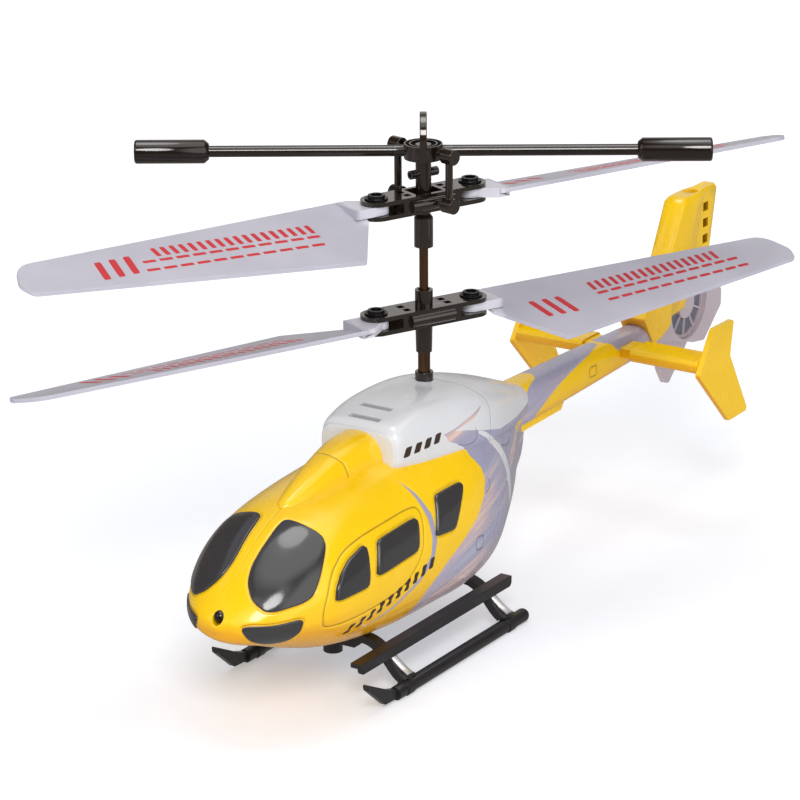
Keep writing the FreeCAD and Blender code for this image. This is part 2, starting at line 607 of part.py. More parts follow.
def make_bearings():
    deck_top = DECK_Z + DECK_T
    save("inner_shaft_bearing", flanged_bush(DECK_Z - 1.0, deck_top, deck_top, 1.8, INNER_SHAFT_R))
    lower = flanged_bush(MID_PLATE_Z, MID_PLATE_Z + DECK_T, MID_PLATE_Z - 0.6, 2.3, OUTER_SHAFT_R)
    top = TOP_PLATE_Z + DECK_T
    upper = flanged_bush(TOP_PLATE_Z, top, top, 2.3, OUTER_SHAFT_R)
    save("outer_shaft_bearings", Part.makeCompound([lower, upper]))


def make_motor(name, y):
    z0 = MID_PLATE_Z + DECK_T
    can = post(0, y, z0, z0 + MOTOR_LENGTH, MOTOR_R)
    can = can.fuse(post(0, y, z0 + MOTOR_LENGTH, z0 + MOTOR_LENGTH + 0.7, 1.4))
    can = can.fuse(post(0, y, z0 - 0.6, z0, 1.15))
    can = can.cut(post(0, y, z0 - 1, z0 + MOTOR_LENGTH - 1, 0.55))
    save(name, can.removeSplitter())


def make_power():
    battery = box(-7.5, 7.5, -42.0, -18.6, DECK_Z + DECK_T, DECK_Z + DECK_T + BATTERY_T)
    battery = battery.makeFillet(0.8, battery.Edges)
    save("battery", battery)
    z = BOARD_Z
    board = box(-8.0, 8.0, -46.0, -18.6, z, z + 1.0)
    board = board.fuse(box(-3.0, 3.0, -36.0, -30.0, z + 1.0, z + 2.2))
    board = board.fuse(box(-6.8, -4.0, -27.0, -23.0, z + 1.0, z + 2.0))
    board = board.fuse(box(3.4, 6.4, -43.5, -40.0, z + 1.0, z + 3.0))
    save("circuit_board", board)
    x0, x1, y0, y1 = BELLY_PORT
    inside = fuselage_loft(-WALL - GAP)
    body = box(-x1 - 0.5, -x0 + 0.6, y0 - 1.0, y1 + 1.0, 12.4, DECK_Z).common(inside)
    body = body.cut(box(-x1 + 0.5, -x0 - 0.5, y0 + 0.6, y1 - 0.6, 12.0, 14.0))
    save("power_switch_body", body)
    middle = (y0 + y1) / 2
    off_place = middle - SWITCH_TRAVEL / 2
    knob = box(-x1 + 0.6, -x0 - 0.6, off_place - 1.2, off_place + 1.2, 8.9, 13.8)
    tips = [e for e in knob.Edges if e.BoundBox.ZMax < 9.0]
    save("power_switch_knob", knob.makeChamfer(0.3, tips))
    socket = box(x0 + 0.1, x1 - 0.1, y0 + 0.1, y1 - 0.1, 10.9, DECK_Z)
    socket = socket.cut(post((x0 + x1) / 2, middle - 1.2, 8, 13.6, 0.5))
    socket = socket.cut(post((x0 + x1) / 2, middle + 1.2, 8, 13.6, 0.5))
    save("charge_socket", socket.common(inside))


# ---- gears and shafts ----------------------------------------------------------
def gear(teeth, z0, thickness, phase, flanks):
    """A spur gear of straight-flanked teeth, a tooth centred on the phase angle."""
    pitch = MODULE * teeth / 2
    step = 360.0 / teeth
    points = []
    for tooth in range(teeth):
        middle = phase + tooth * step
        for rise, share in flanks:
            radius = pitch + rise * MODULE
            angle = math.radians(middle - share * step)
            points.append((radius * math.cos(angle), radius * math.sin(angle)))
        for rise, share in reversed(flanks):
            radius = pitch + rise * MODULE
            angle = math.radians(middle + share * step)
            points.append((radius * math.cos(angle), radius * math.sin(angle)))
    return flat(points, z0, z0 + thickness)


def make_gear_train():
    inner = gear(BIG_TEETH, INNER_GEAR_Z, GEAR_THICKNESS, 0, WHEEL_FLANKS)
    inner = inner.fuse(post(0, 0, INNER_GEAR_Z - 1.2, INNER_GEAR_Z + GEAR_THICKNESS + 0.8, 2.4))
    outer = gear(BIG_TEETH, OUTER_GEAR_Z, GEAR_THICKNESS, 0, WHEEL_FLANKS)
    outer = outer.fuse(post(0, 0, OUTER_GEAR_Z - 0.8, OUTER_GEAR_Z + GEAR_THICKNESS + 1.4, 2.6))
    for hole in range(5):
        angle = math.radians(72 * hole)
        x, y = 6.2 * math.cos(angle), 6.2 * math.sin(angle)
        inner = inner.cut(post(x, y, 10, 40, 1.9))
        outer = outer.cut(post(x, y, 10, 40, 1.9))
    save("inner_drive_gear", inner.cut(post(0, 0, 10, 40, INNER_SHAFT_R)).removeSplitter())
    save("outer_drive_gear", outer.cut(post(0, 0, 10, 40, OUTER_SHAFT_R)).removeSplitter())
    save("inner_shaft", post(0, 0, DECK_Z - 0.8, FLYBAR_Z - 2.2, INNER_SHAFT_R))
    save("outer_shaft", tube(0, 0, OUTER_GEAR_Z - 0.8, LOWER_HUB_Z + 3.2, OUTER_SHAFT_R,
                             OUTER_SHAFT_BORE))
    for name, y, z, turn in (("front_pinion", -1, INNER_GEAR_Z, 90), ("rear_pinion", 1, OUTER_GEAR_Z, -90)):
        pinion = gear(SMALL_TEETH, z - 0.4, GEAR_THICKNESS + 0.8, turn, PINION_FLANKS)
        pinion.translate(V(0, y * GEAR_CENTRES, 0))
        shaft = post(0, y * GEAR_CENTRES, z - 0.4, MID_PLATE_Z + DECK_T + 11, 0.5)
        save(name, pinion.fuse(shaft).removeSplitter())


# ---- rotor heads -----------------------------------------------------------------
HUB_HALF_LENGTH = 15.2
HUB_HALF_WIDTH = 3.4
HUB_HALF_HEIGHT = 2.0
SLOT_HALF = 1.05
SLOT_START = 7.2
SCREW_SHANK_R = 0.8
LINK_RADIUS = 7.3
LINK_DIRECTION = -10.7
LINK_Z = (95.0, FLYBAR_Z)
BALL_R = 1.0
LOOSE_BALL_R = 0.75
PIVOT_PIN_R = 0.7


def stadium(half_length, half_width, z0, z1):
    middle = half_length - half_width
    bar = box(-middle, middle, -half_width, half_width, z0, z1)
    return bar.fuse(post(middle, 0, z0, z1, half_width)).fuse(post(-middle, 0, z0, z1, half_width))


def hub_body(z):
    """The double-ended blade fork, its span along X."""
    hub = stadium(HUB_HALF_LENGTH, HUB_HALF_WIDTH, z - HUB_HALF_HEIGHT, z + HUB_HALF_HEIGHT)
    for side in (-1, 1):
        start, end = sorted((side * SLOT_START, side * (HUB_HALF_LENGTH + 1)))
        hub = hub.cut(box(start, end, -5, 5, z - SLOT_HALF, z + SLOT_HALF))
        hub = hub.cut(post(side * SCREW_RADIUS, 0, z - 5, z + 5, SCREW_SHANK_R + GAP))
        hub = hub.fuse(rod(V(-5.35, side * 3.1, z), X_AXIS, 10.7, 1.45))
        for row in (-1, 1):
            window = box(4.3, 5.8, 0.45, 2.1, z - 5, z + 5)
            if side < 0:
                window = window.mirror(ORIGIN, X_AXIS)
            if row < 0:
                window = window.mirror(ORIGIN, Y_AXIS)
            hub = hub.cut(window)
    return hub


def blade_screws(z, direction):
    screws = []
    for side in (-1, 1):
        x = side * SCREW_RADIUS
        top = z + HUB_HALF_HEIGHT
        screw = post(x, 0, z - HUB_HALF_HEIGHT - 0.3, top, SCREW_SHANK_R)
        screw = screw.fuse(post(x, 0, top, top + 0.35, 2.45))
        screw = screw.fuse(post(x, 0, top + 0.35, top + 0.95, 1.8))
        screw = screw.cut(post(x, 0, top + 0.3, top + 2, 1.15))
        screws.append(turned(screw, direction))
    return Part.makeCompound(screws)


def make_lower_head():
    z = LOWER_HUB_Z
    hub = hub_body(z)
    hub = hub.fuse(post(0, 0, z - 2.2, z + 5.4, 1.9))
    hub = hub.fuse(cone(0, 0, z - 8.3, z - 1.9, 1.7, 1.85))
    hub = hub.cut(post(0, 0, z - 20, z + 20, OUTER_SHAFT_R))
    save("lower_rotor_hub", turned(hub, SPAN_LOWER).removeSplitter())
    save("lower_blade_screws", blade_screws(z, SPAN_LOWER))


def ball_stud(parent_radius, z, ball_radius):
    """A short radial neck with a ball, where a link snaps on."""
    neck = rod(V(parent_radius, 0, z), X_AXIS, LINK_RADIUS - parent_radius, 0.5)
    return neck.fuse(Part.makeSphere(ball_radius, V(LINK_RADIUS, 0, z)))


def make_upper_grip():
    z = UPPER_HUB_Z
    grip = hub_body(z)
    grip = grip.cut(box(-3.3, 3.3, -2.5, 2.5, z - 5, z + 5))
    grip = grip.cut(rod(V(-9, 0, z), X_AXIS, 18, PIVOT_PIN_R + GAP))
    grip = turned(grip, SPAN_UPPER)
    for half_turn in (0, 180):
        grip = grip.fuse(turned(ball_stud(4.2, z, LOOSE_BALL_R), LINK_DIRECTION + half_turn))
    save("upper_blade_grip", grip.removeSplitter())
    save("upper_blade_screws", blade_screws(z, SPAN_UPPER))


def make_rotor_head():
    z = UPPER_HUB_Z
    post_body = post(0, 0, z - 2.1, FLYBAR_Z - 2.2, 1.65)
    head = post_body.fuse(post(0, 0, FLYBAR_Z - 2.2, FLYBAR_Z + 1.4, 1.65))
    lugs = rod(V(-3.4, 0, z + 5.7), X_AXIS, 6.8, 0.95)
    head = head.fuse(turned(lugs, SPAN_UPPER))
    head = head.cut(post(0, 0, 50, FLYBAR_Z - 2.2, INNER_SHAFT_R))
    pivot_direction = FLYBAR_DIRECTION + 90
    head = head.cut(turned(rod(V(-6, 0, FLYBAR_Z), X_AXIS, 12, 0.6), pivot_direction))
    head = head.cut(turned(rod(V(-9, 0, z), X_AXIS, 18, PIVOT_PIN_R), SPAN_UPPER))
    head = head.cut(turned(rod(V(-9, 0, z + 5.7), X_AXIS, 18, 0.5), SPAN_UPPER))
    save("rotor_head", head.removeSplitter())
    pin = rod(V(-6.4, 0, z), X_AXIS, 12.8, PIVOT_PIN_R)
    pin = pin.cut(post(0, 0, z - 3, z + 3, INNER_SHAFT_R))
    pins = sorted(pin.Solids, key=lambda s: s.CenterOfMass.x)
    save("grip_pivot_pins", Part.makeCompound([turned(p, SPAN_UPPER) for p in pins]))
    screw = rod(V(-3.0, 0, z + 5.7), X_AXIS, 6.0, 0.5).cut(post(0, 0, z, FLYBAR_Z, INNER_SHAFT_R))
    screws = [turned(s, SPAN_UPPER) for s in screw.Solids]
    save("head_clamp_screws", Part.makeCompound(screws))
    collar = cone(0, 0, z - 3.9, z - 3.1, 2.0, 1.45).fuse(post(0, 0, z - 10.2, z - 3.9, 2.0))
    collar = collar.fuse(post(0, 0, z - 3.1, z - 2.1, 1.4)).cut(post(0, 0, 50, 99, INNER_SHAFT_R))
    save("shaft_collar", collar.removeSplitter())
    make_head_loop(pivot_direction)


def make_head_loop(pivot_direction):
    """The hoop over the flybar ring and the pins that the ring rocks on."""
    z = FLYBAR_Z
    outer_r, inner_r, half_thickness = 5.3, 4.35, 0.75
    rise = 2.9
    hoop = rod(V(0, -half_thickness, z + rise), Y_AXIS, 2 * half_thickness, outer_r)
    hoop = hoop.cut(rod(V(0, -2, z + rise), Y_AXIS, 4, inner_r))
    hoop = hoop.cut(box(-9, 9, -2, 2, z - 9, z + rise))
    for side in (-1, 1):
        x0, x1 = sorted((side * inner_r, side * outer_r))
        hoop = hoop.fuse(box(x0, x1, -half_thickness, half_thickness, z, z + rise))
        hoop = hoop.fuse(rod(V(x0, 0, z), X_AXIS, x1 - x0, 1.4))
        start = min(side * 1.1, side * inner_r)
        hoop = hoop.fuse(rod(V(start, 0, z), X_AXIS, inner_r - 1.1, 0.6))
    hoop = hoop.cut(box(-9, 9, -3, 3, z - 9, z - 1.4))
    save("head_loop", turned(hoop, pivot_direction).removeSplitter())


def make_flybar():
    z = FLYBAR_Z
    ring = tube(0, 0, z - 1.6, z + 1.6, 4.05, 2.7)
    ring = ring.cut(tube(0, 0, z + 0.9, z + 2, 3.75, 3.0))
    pivot_direction = FLYBAR_DIRECTION + 90
    ring = ring.cut(turned(rod(V(-6, 0, z), X_AXIS, 12, 0.6 + GAP), pivot_direction))
    for half_turn in (0, 180):
        ring = ring.fuse(turned(ball_stud(3.6, z, BALL_R), LINK_DIRECTION + half_turn))
        socket = rod(V(3.6, 0, z), X_AXIS, 2.6, 1.2)
        ring = ring.fuse(turned(socket, FLYBAR_DIRECTION + half_turn))
    save("flybar_ring", ring.removeSplitter())
    rods = []
    weights = []
    half = FLYBAR_LENGTH / 2
    for half_turn in (0, 180):
        bar = rod(V(6.2, 0, z), X_AXIS, half - 6.2 - 1.5, 1.2)
        weight = rod(V(half - 14.5, 0, z), X_AXIS, 14.5, 2.5)
        weight = weight.makeChamfer(0.3, weight.Edges[:1])
        taper = Part.makeCone(1.7, 2.5, 1.0, V(half - 15.5, 0, z), X_AXIS)
        weight = weight.fuse(taper).cut(rod(V(0, 0, z), X_AXIS, half - 1.5, 1.2))
        rods.append(turned(bar, FLYBAR_DIRECTION + half_turn))
        weights.append(turned(weight.removeSplitter(), FLYBAR_DIRECTION + half_turn))
    save("flybar_rods", Part.makeCompound(rods))
    save("flybar_weights", Part.makeCompound(weights))


def make_links():
    low, high = LINK_Z
    for name, half_turn in (("link_a", 0), ("link_b", 180)):
        link = post(LINK_RADIUS, 0, low, high, 0.8)
        for z, bore in ((high, BALL_R + GAP), (low, LOOSE_BALL_R + 0.45)):
            barrel = rod(V(LINK_RADIUS - 1.3, 0, z), X_AXIS, 2.9, 1.65)
            link = link.fuse(barrel)
        for z, bore in ((high, BALL_R + GAP), (low, LOOSE_BALL_R + 0.45)):
            link = link.cut(rod(V(LINK_RADIUS - 2, 0, z), X_AXIS, 2 + bore + 0.05, bore))
        save(name, turned(link, LINK_DIRECTION + half_turn).removeSplitter())


# ---- blades ----------------------------------------------------------------------
BLADE_T = 0.9
BLADE_PITCH = 14.5
BLADE_DROOP = 0.3
LEADING_EDGE = 5.9         # leading edge ahead of the span line
LEADING_RISE = 0.5         # and above the middle of the fork
ROOT_CHORD = 23.4
TIP_CHORD = 10.8
TAB_R = 2.6


def blade_solid():
    """A blade along +X with its leading edge towards +Y, screw at SCREW_RADIUS."""
    lead = LEADING_EDGE
    outline = [(15.7, lead), (ROTOR_RADIUS - 3.0, lead), (ROTOR_RADIUS, lead - 7.0),
               (ROTOR_RADIUS - 1.4, lead - TIP_CHORD), (25.5, lead - ROOT_CHORD), (15.7, lead - 9.0)]
    sheet = flat(outline, -BLADE_T / 2, BLADE_T / 2)
    for (x, y), radius in zip(outline[1:5], (5.0, 4.0, 1.6, 0.8)):
        corner = [e for e in sheet.Edges if abs(e.BoundBox.XMin - x) + abs(e.BoundBox.YMin - y) < 1e-6
                  and abs(e.Length - BLADE_T) < 1e-6]
        sheet = sheet.makeFillet(radius, corner)
    sheet.rotate(V(0, lead, 0), X_AXIS, BLADE_PITCH)
    sheet.translate(V(0, 0, LEADING_RISE))
    sheet.rotate(V(SCREW_RADIUS, 0, 0), Y_AXIS, BLADE_DROOP)
    tab_half = SLOT_HALF - GAP
    tab = flat([(SCREW_RADIUS, TAB_R), (15.6, 5.4), (18.4, 5.4), (18.4, -TAB_R), (SCREW_RADIUS, -TAB_R)],
               -tab_half, tab_half)
    tab = tab.fuse(post(SCREW_RADIUS, 0, -tab_half, tab_half, TAB_R))
    blade = sheet.fuse(tab)
    blade = blade.cut(post(SCREW_RADIUS, 0, -5, 5, SCREW_SHANK_R + GAP))
    return blade.removeSplitter()


def make_blades():
    turning_left = blade_solid()
    turning_right = turning_left.mirror(ORIGIN, Y_AXIS)
    for name, shape, z, direction in (("lower_blade", turning_left, LOWER_HUB_Z, SPAN_LOWER),
                                      ("upper_blade", turning_right, UPPER_HUB_Z, SPAN_UPPER)):
        for letter, half_turn in (("a", 0), ("b", 180)):
            blade = turned(shape, direction + half_turn)
            blade.translate(V(0, 0, z))
            save("%s_%s" % (name, letter), blade)


os.makedirs("parts", exist_ok=True)
make_fuselage()
make_glazing()
make_shell_screws()
make_nose_lamp()
boom_zone = make_boom()
make_covers(boom_zone)
make_tail(boom_zone)
make_landing_gear()
make_frame()
make_bearings()
make_motor("front_motor", -GEAR_CENTRES)
make_motor("rear_motor", GEAR_CENTRES)
make_power()
make_gear_train()
make_lower_head()
make_upper_grip()
make_rotor_head()
make_flybar()
make_links()
make_blades()
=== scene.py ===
import json
import math

import bmesh
import bpy
import numpy as np
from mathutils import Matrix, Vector
from mathutils.bvhtree import BVHTree

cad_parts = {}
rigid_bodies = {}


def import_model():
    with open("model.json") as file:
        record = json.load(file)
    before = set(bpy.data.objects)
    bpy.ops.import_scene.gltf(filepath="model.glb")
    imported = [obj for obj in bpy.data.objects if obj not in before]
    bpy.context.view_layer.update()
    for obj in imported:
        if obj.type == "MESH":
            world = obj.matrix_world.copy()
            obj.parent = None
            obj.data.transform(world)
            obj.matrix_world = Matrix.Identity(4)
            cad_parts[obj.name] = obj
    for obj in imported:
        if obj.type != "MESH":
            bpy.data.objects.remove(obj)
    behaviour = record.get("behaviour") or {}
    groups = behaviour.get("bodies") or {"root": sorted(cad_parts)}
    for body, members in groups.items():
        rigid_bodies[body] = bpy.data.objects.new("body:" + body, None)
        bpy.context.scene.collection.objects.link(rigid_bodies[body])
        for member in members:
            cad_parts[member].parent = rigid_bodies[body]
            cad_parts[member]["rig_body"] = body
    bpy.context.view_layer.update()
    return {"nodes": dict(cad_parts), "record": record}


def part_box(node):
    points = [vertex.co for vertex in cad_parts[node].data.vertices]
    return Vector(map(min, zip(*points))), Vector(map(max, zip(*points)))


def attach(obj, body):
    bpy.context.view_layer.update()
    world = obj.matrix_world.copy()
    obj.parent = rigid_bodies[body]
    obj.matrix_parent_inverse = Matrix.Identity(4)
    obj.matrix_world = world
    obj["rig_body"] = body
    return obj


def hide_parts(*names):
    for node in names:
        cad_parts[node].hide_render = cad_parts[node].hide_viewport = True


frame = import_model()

# Lengths below are in millimetres about the rotor mast at ground level,
# +X to port and the nose along -Y. place() turns them into the scene's metres.
MM = 0.001
shaft_low, shaft_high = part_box("inner_shaft")
MAST_Y = (shaft_low.y + shaft_high.y) / 2
SHAFT_TOP = 103.3
GROUND = SHAFT_TOP * MM - shaft_high.z

# ---- body sections: y, half width, top, widest, bottom, upper and lower roundness
FUSELAGE = [
    (-77.2, 1.6, 26.0, 25.0, 24.0, 2.0, 2.0),
    (-76.2, 5.0, 27.6, 25.0, 22.4, 2.0, 2.0),
    (-73.5, 8.8, 30.6, 25.0, 20.8, 2.0, 1.9),
    (-68.0, 13.2, 35.6, 25.2, 18.8, 2.15, 1.8),
    (-61.0, 16.2, 40.4, 25.6, 16.0, 2.25, 1.9),
    (-53.0, 17.6, 43.6, 26.0, 13.4, 2.25, 2.1),
    (-42.0, 18.1, 45.4, 26.6, 11.4, 2.2, 2.3),
    (-30.0, 18.2, 46.6, 27.0, 10.4, 2.1, 2.5),
    (-16.0, 18.0, 47.6, 27.2, 10.0, 2.1, 2.6),
    (-4.0, 17.4, 48.0, 27.6, 9.8, 2.2, 2.7),
    (8.0, 14.8, 48.0, 28.4, 10.4, 2.2, 2.6),
    (18.0, 10.9, 47.2, 29.4, 12.6, 2.2, 2.3),
    (26.0, 7.2, 46.6, 31.0, 16.0, 2.2, 2.2),
    (33.0, 3.6, 44.7, 33.4, 20.6, 2.2, 2.1),
    (38.0, 1.9, 42.4, 36.0, 25.0, 2.1, 2.0),
]
COWL = [
    (-25.2, 9.2, 52.0, 46.0, 42.0, 5.0, 2.0),
    (-23.0, 10.0, 53.6, 46.0, 41.0, 4.6, 2.0),
    (-14.0, 11.4, 55.2, 45.0, 39.0, 4.0, 2.0),
    (0.0, 12.6, 54.9, 44.0, 37.0, 3.6, 2.0),
    (10.0, 11.8, 53.4, 43.0, 36.0, 3.2, 2.0),
    (20.0, 9.6, 50.5, 42.0, 36.0, 3.0, 2.0),
    (28.0, 7.4, 47.4, 41.0, 36.0, 3.0, 2.0),
    (33.5, 5.6, 45.2, 41.0, 37.0, 3.0, 2.0),
]
HUMP = [
    (-53.6, 0.8, 43.9, 43.3, 42.0, 2.0, 2.0),
    (-52.2, 2.1, 44.9, 43.0, 41.0, 2.0, 2.0),
    (-47.0, 3.5, 47.2, 43.2, 41.0, 2.1, 2.0),
    (-38.8, 4.7, 50.0, 44.0, 42.0, 2.2, 2.0),
    (-31.0, 5.7, 51.6, 44.6, 42.0, 2.3, 2.0),
    (-21.0, 6.8, 51.6, 45.0, 42.0, 2.3, 2.0),
]
BOOM = [
    (26.0, 4.4, 44.7, 39.5, 34.3, 3.2, 3.2),
    (60.0, 3.7, 43.9, 39.3, 34.8, 3.2, 3.2),
    (97.8, 2.9, 42.6, 39.1, 35.6, 3.0, 3.0),
]
CELL = 0.26

# ---- windows and painted shapes on the port side ----
WINDSHIELD = [(2.4, -57.3, 42.1), (3.9, -56.1, 42.4), (10.6, -54.8, 40.0), (12.4, -55.9, 38.0),
              (14.2, -61.0, 33.0), (14.2, -64.4, 29.6), (9.3, -71.9, 28.3), (5.6, -72.4, 30.4),
              (3.0, -70.3, 33.2), (2.1, -67.0, 36.4)]
WINDSHIELD_FACING = (0.42, -0.66, 0.62)
CHIN_WINDOW = [(5.2, -76.2, 25.9), (7.0, -75.0, 26.4), (10.4, -71.8, 26.2), (13.4, -67.4, 26.8),
               (14.0, -66.6, 26.2), (13.4, -67.0, 24.2), (11.1, -68.4, 21.9), (8.6, -71.0, 21.3),
               (6.4, -74.2, 23.1)]
CHIN_FACING = (0.55, -0.80, -0.24)
QUARTER_WINDOW = [(-59.2, 28.2), (-58.4, 30.8), (-56.4, 33.2), (-53.2, 35.2), (-48.0, 36.6),
                  (-46.9, 35.9), (-48.7, 29.0), (-49.6, 28.4)]
DOOR_WINDOW = [(-45.9, 30.2), (-43.6, 35.6), (-42.4, 36.3), (-29.7, 36.8), (-28.6, 35.9),
               (-30.4, 31.0), (-31.6, 30.2), (-45.0, 29.5)]
REAR_WINDOW = [(-23.6, 31.4), (-20.6, 38.0), (-19.6, 38.6), (-11.0, 38.7), (-10.0, 37.8),
               (-15.8, 31.0), (-16.9, 30.3), (-23.0, 30.9)]
DOOR = [(-61.8, 22.6), (-62.6, 26.5), (-58.7, 33.7), (-53.3, 37.0), (-45.5, 38.2), (-28.0, 38.8),
        (-26.2, 37.0), (-29.0, 28.6), (-37.0, 23.4)]
SIDE = (1.0, 0.0, 0.0)
ABOVE = (0.0, 0.0, 1.0)

# rear paint: everything behind this line, from the cowl down to the belly
REAR_PAINT = [(-3.1, 41.6), (-1.0, 38.6), (-1.0, 36.3), (-3.1, 33.3), (-7.0, 30.0), (-13.2, 26.6),
              (-19.8, 23.9), (-26.3, 20.0), (-29.6, 15.9), (-34.0, 8.0), (60.0, 0.0), (60.0, 60.0),
              (-3.1, 60.0)]
STRIPE = [(-27.6, 43.4), (-25.7, 40.0), (-24.3, 35.6), (-24.1, 30.9), (-25.3, 27.3), (-30.2, 23.6),
          (-40.0, 20.2), (-53.0, 17.6)]
STRIPE_HALF = [0.02, 0.45, 0.85, 0.95, 0.75, 0.45, 0.3, 0.02]
CRESCENT = [(1.2, 45.6), (6.3, 42.6), (9.6, 38.7), (11.8, 34.6), (13.0, 30.6), (15.5, 25.3),
            (17.2, 23.5), (17.0, 26.1), (15.8, 30.3), (14.0, 35.4), (10.8, 40.3), (3.8, 44.8)]
COWL_PAINT = [(4.3, 50.7), (0.6, 50.0), (-3.3, 49.3), (-7.3, 48.6), (-10.9, 48.3), (-9.7, 47.4),
              (-9.4, 46.5), (-6.6, 45.2), (-3.9, 43.6), (-3.1, 41.7), (-3.0, 34.0), (40.0, 34.0),
              (40.0, 41.5), (24.0, 41.6), (12.5, 42.7), (3.8, 45.2), (-2.8, 47.1), (-7.3, 48.1),
              (-3.5, 48.5), (-0.3, 48.8), (2.6, 49.8)]
ARCS = [[(0.8, 46.7), (1.5, 44.6), (0.0, 43.5), (-3.5, 43.7), (-5.8, 44.7)],
        [(22.0, 42.0), (22.8, 39.6), (20.6, 37.6), (17.0, 37.3), (13.1, 38.9)],
        [(0.7, 35.9), (1.5, 34.6), (0.5, 33.7), (-1.8, 33.5)],
        [(20.0, 36.0), (12.6, 31.5), (5.8, 27.7), (3.0, 22.4)]]
SQUARE_MARK = [(-7.3, 25.3), (-3.8, 24.9), (-3.4, 21.8), (-6.9, 22.3)]


def place(x, y, z):
    return Vector((x * MM, y * MM + MAST_Y, z * MM - GROUND))


# ---- section maths ----
class Loft:
    """A smooth surface through body sections, sampled along its length."""

    def __init__(self, rows, cell):
        rows = np.array(rows, float)
        count = len(rows)
        slopes = np.gradient(rows, axis=0)
        slopes[0] = rows[1] - rows[0]
        slopes[-1] = rows[-1] - rows[-2]
        samples = [rows[0]]
        for i in range(count - 1):
            reach = np.hypot(rows[i + 1][0] - rows[i][0], rows[i + 1][1] - rows[i][1])
            steps = max(3, int(math.ceil(reach / cell)))
            for t in np.linspace(0, 1, steps + 1)[1:]:
                a = 2 * t ** 3 - 3 * t ** 2 + 1
                b = t ** 3 - 2 * t ** 2 + t
                c = -2 * t ** 3 + 3 * t ** 2
                d = t ** 3 - t ** 2
                samples.append(a * rows[i] + b * slopes[i] + c * rows[i + 1] + d * slopes[i + 1])
        self.rows = np.array(samples)

    def section(self, row, angles, offset=0.0):
        """Points of one section at the given angles, 0 at the port side and 90 at the top."""
        y, half_width, top, widest, bottom, upper_n, lower_n = row
        c = np.cos(angles)
        s = np.sin(angles)
        power = np.where(s >= 0, 2.0 / upper_n, 2.0 / lower_n)
        height = np.where(s >= 0, top - widest, widest - bottom) + offset
        x = (half_width + offset) * np.sign(c) * np.abs(c) ** power
        z = widest + np.maximum(height, 0.02) * np.sign(s) * np.abs(s) ** power
        return np.stack([x, np.full_like(x, y), z], axis=1)

    def level(self, x, y, z):
        """Below 1 inside the body, above 1 outside."""
        columns = [np.interp(y, self.rows[:, 0], self.rows[:, k]) for k in range(1, 7)]
        half_width, top, widest, bottom, upper_n, lower_n = columns
        n = np.where(z >= widest, upper_n, lower_n)
        height = np.where(z >= widest, top - widest, widest - bottom)
        return (np.abs(x) / half_width) ** n + (np.abs(z - widest) / height) ** n


def even_angles(loft, row, start, end, steps):
    """Angles that space a section's points evenly."""
    fine = np.linspace(start, end, 400)
    points = loft.section(row, fine)
    run = np.concatenate([[0], np.cumsum(np.linalg.norm(np.diff(points, axis=0), axis=1))])
    return np.interp(np.linspace(0, run[-1], steps), run, fine)


def grid_faces(columns, steps, closed=False):
    faces = []
    span = steps if closed else steps - 1
    for i in range(columns - 1):
        for j in range(span):
            k = (j + 1) % steps
            faces.append((i * steps + j, (i + 1) * steps + j, (i + 1) * steps + k, i * steps + k))
    return faces


def normals_of(points, faces):
    corners = points[np.array(faces)]
    cross = np.cross(corners[:, 2] - corners[:, 0], corners[:, 3] - corners[:, 1])
    total = np.zeros_like(points)
    for k in range(4):
        np.add.at(total, np.array(faces)[:, k], cross)
    return total / np.maximum(np.linalg.norm(total, axis=1, keepdims=True), 1e-12)


# ---- outlines ----
FAR = 9.0  # stands for "nowhere near a mark"


def rounded(outline, rounds=3, cut=0.22):
    """Cuts the corners of a closed outline into smooth curves."""
    points = np.array(outline, float)
    for _ in range(rounds):
        after = np.roll(points, -1, axis=0)
        first = points + (after - points) * cut
        second = points + (after - points) * (1 - cut)
        points = np.stack([first, second], axis=1).reshape(-1, points.shape[1])
    return points


def line_distance(points, line, closed=False):
    best = np.full(len(points), 1e9)
    line = np.array(line, float)
    ends = list(zip(line[:-1], line[1:]))
    if closed:
        ends.append((line[-1], line[0]))
    for a, b in ends:
        edge = b - a
        t = np.clip((points - a) @ edge / max(edge @ edge, 1e-12), 0, 1)
        best = np.minimum(best, np.linalg.norm(points - a - t[:, None] * edge, axis=1))
    return best


def outline_distance(points, outline):
    """Distance to a closed outline, negative inside."""
    outline = np.array(outline, float)
    inside = np.zeros(len(points), bool)
    for a, b in zip(outline, np.roll(outline, -1, axis=0)):
        crosses = (a[1] > points[:, 1]) != (b[1] > points[:, 1])
        slope = (b[0] - a[0]) / (b[1] - a[1] if abs(b[1] - a[1]) > 1e-9 else 1e-9)
        inside ^= crosses & (points[:, 0] < a[0] + (points[:, 1] - a[1]) * slope)
    distance = line_distance(points, outline, closed=True)
    return np.where(inside, -distance, distance)


def taper_distance(points, line, halves):
    """Distance to a line whose half width changes along it, negative inside."""
    best = np.full(len(points), 1e9)
    line = np.array(line, float)
    for a, b, first, second in zip(line[:-1], line[1:], halves[:-1], halves[1:]):
        edge = b - a
        t = np.clip((points - a) @ edge / (edge @ edge), 0, 1)
        away = np.linalg.norm(points - a - t[:, None] * edge, axis=1)
        best = np.minimum(best, away - (first + (second - first) * t))
    return best


def plane_axes(facing):
    direction = np.array(facing, float)
    direction /= np.linalg.norm(direction)
    across = np.cross((0.0, 0.0, 1.0), direction)
    if np.linalg.norm(across) < 1e-6:
        across = np.array((1.0, 0.0, 0.0))
    across /= np.linalg.norm(across)
    return direction, across, np.cross(direction, across)


def facing_distance(points, normals, outline, facing):
    """Distance to an outline seen along its facing, far for surfaces turned away."""
    direction, across, up = plane_axes(facing)
    outline = np.array(outline, float)
    flat = np.stack([points @ across, points @ up], axis=1)
    shape = np.stack([outline @ across, outline @ up], axis=1)
    distance = outline_distance(flat, shape)
    return np.where(normals @ direction > 0.12, distance, FAR)


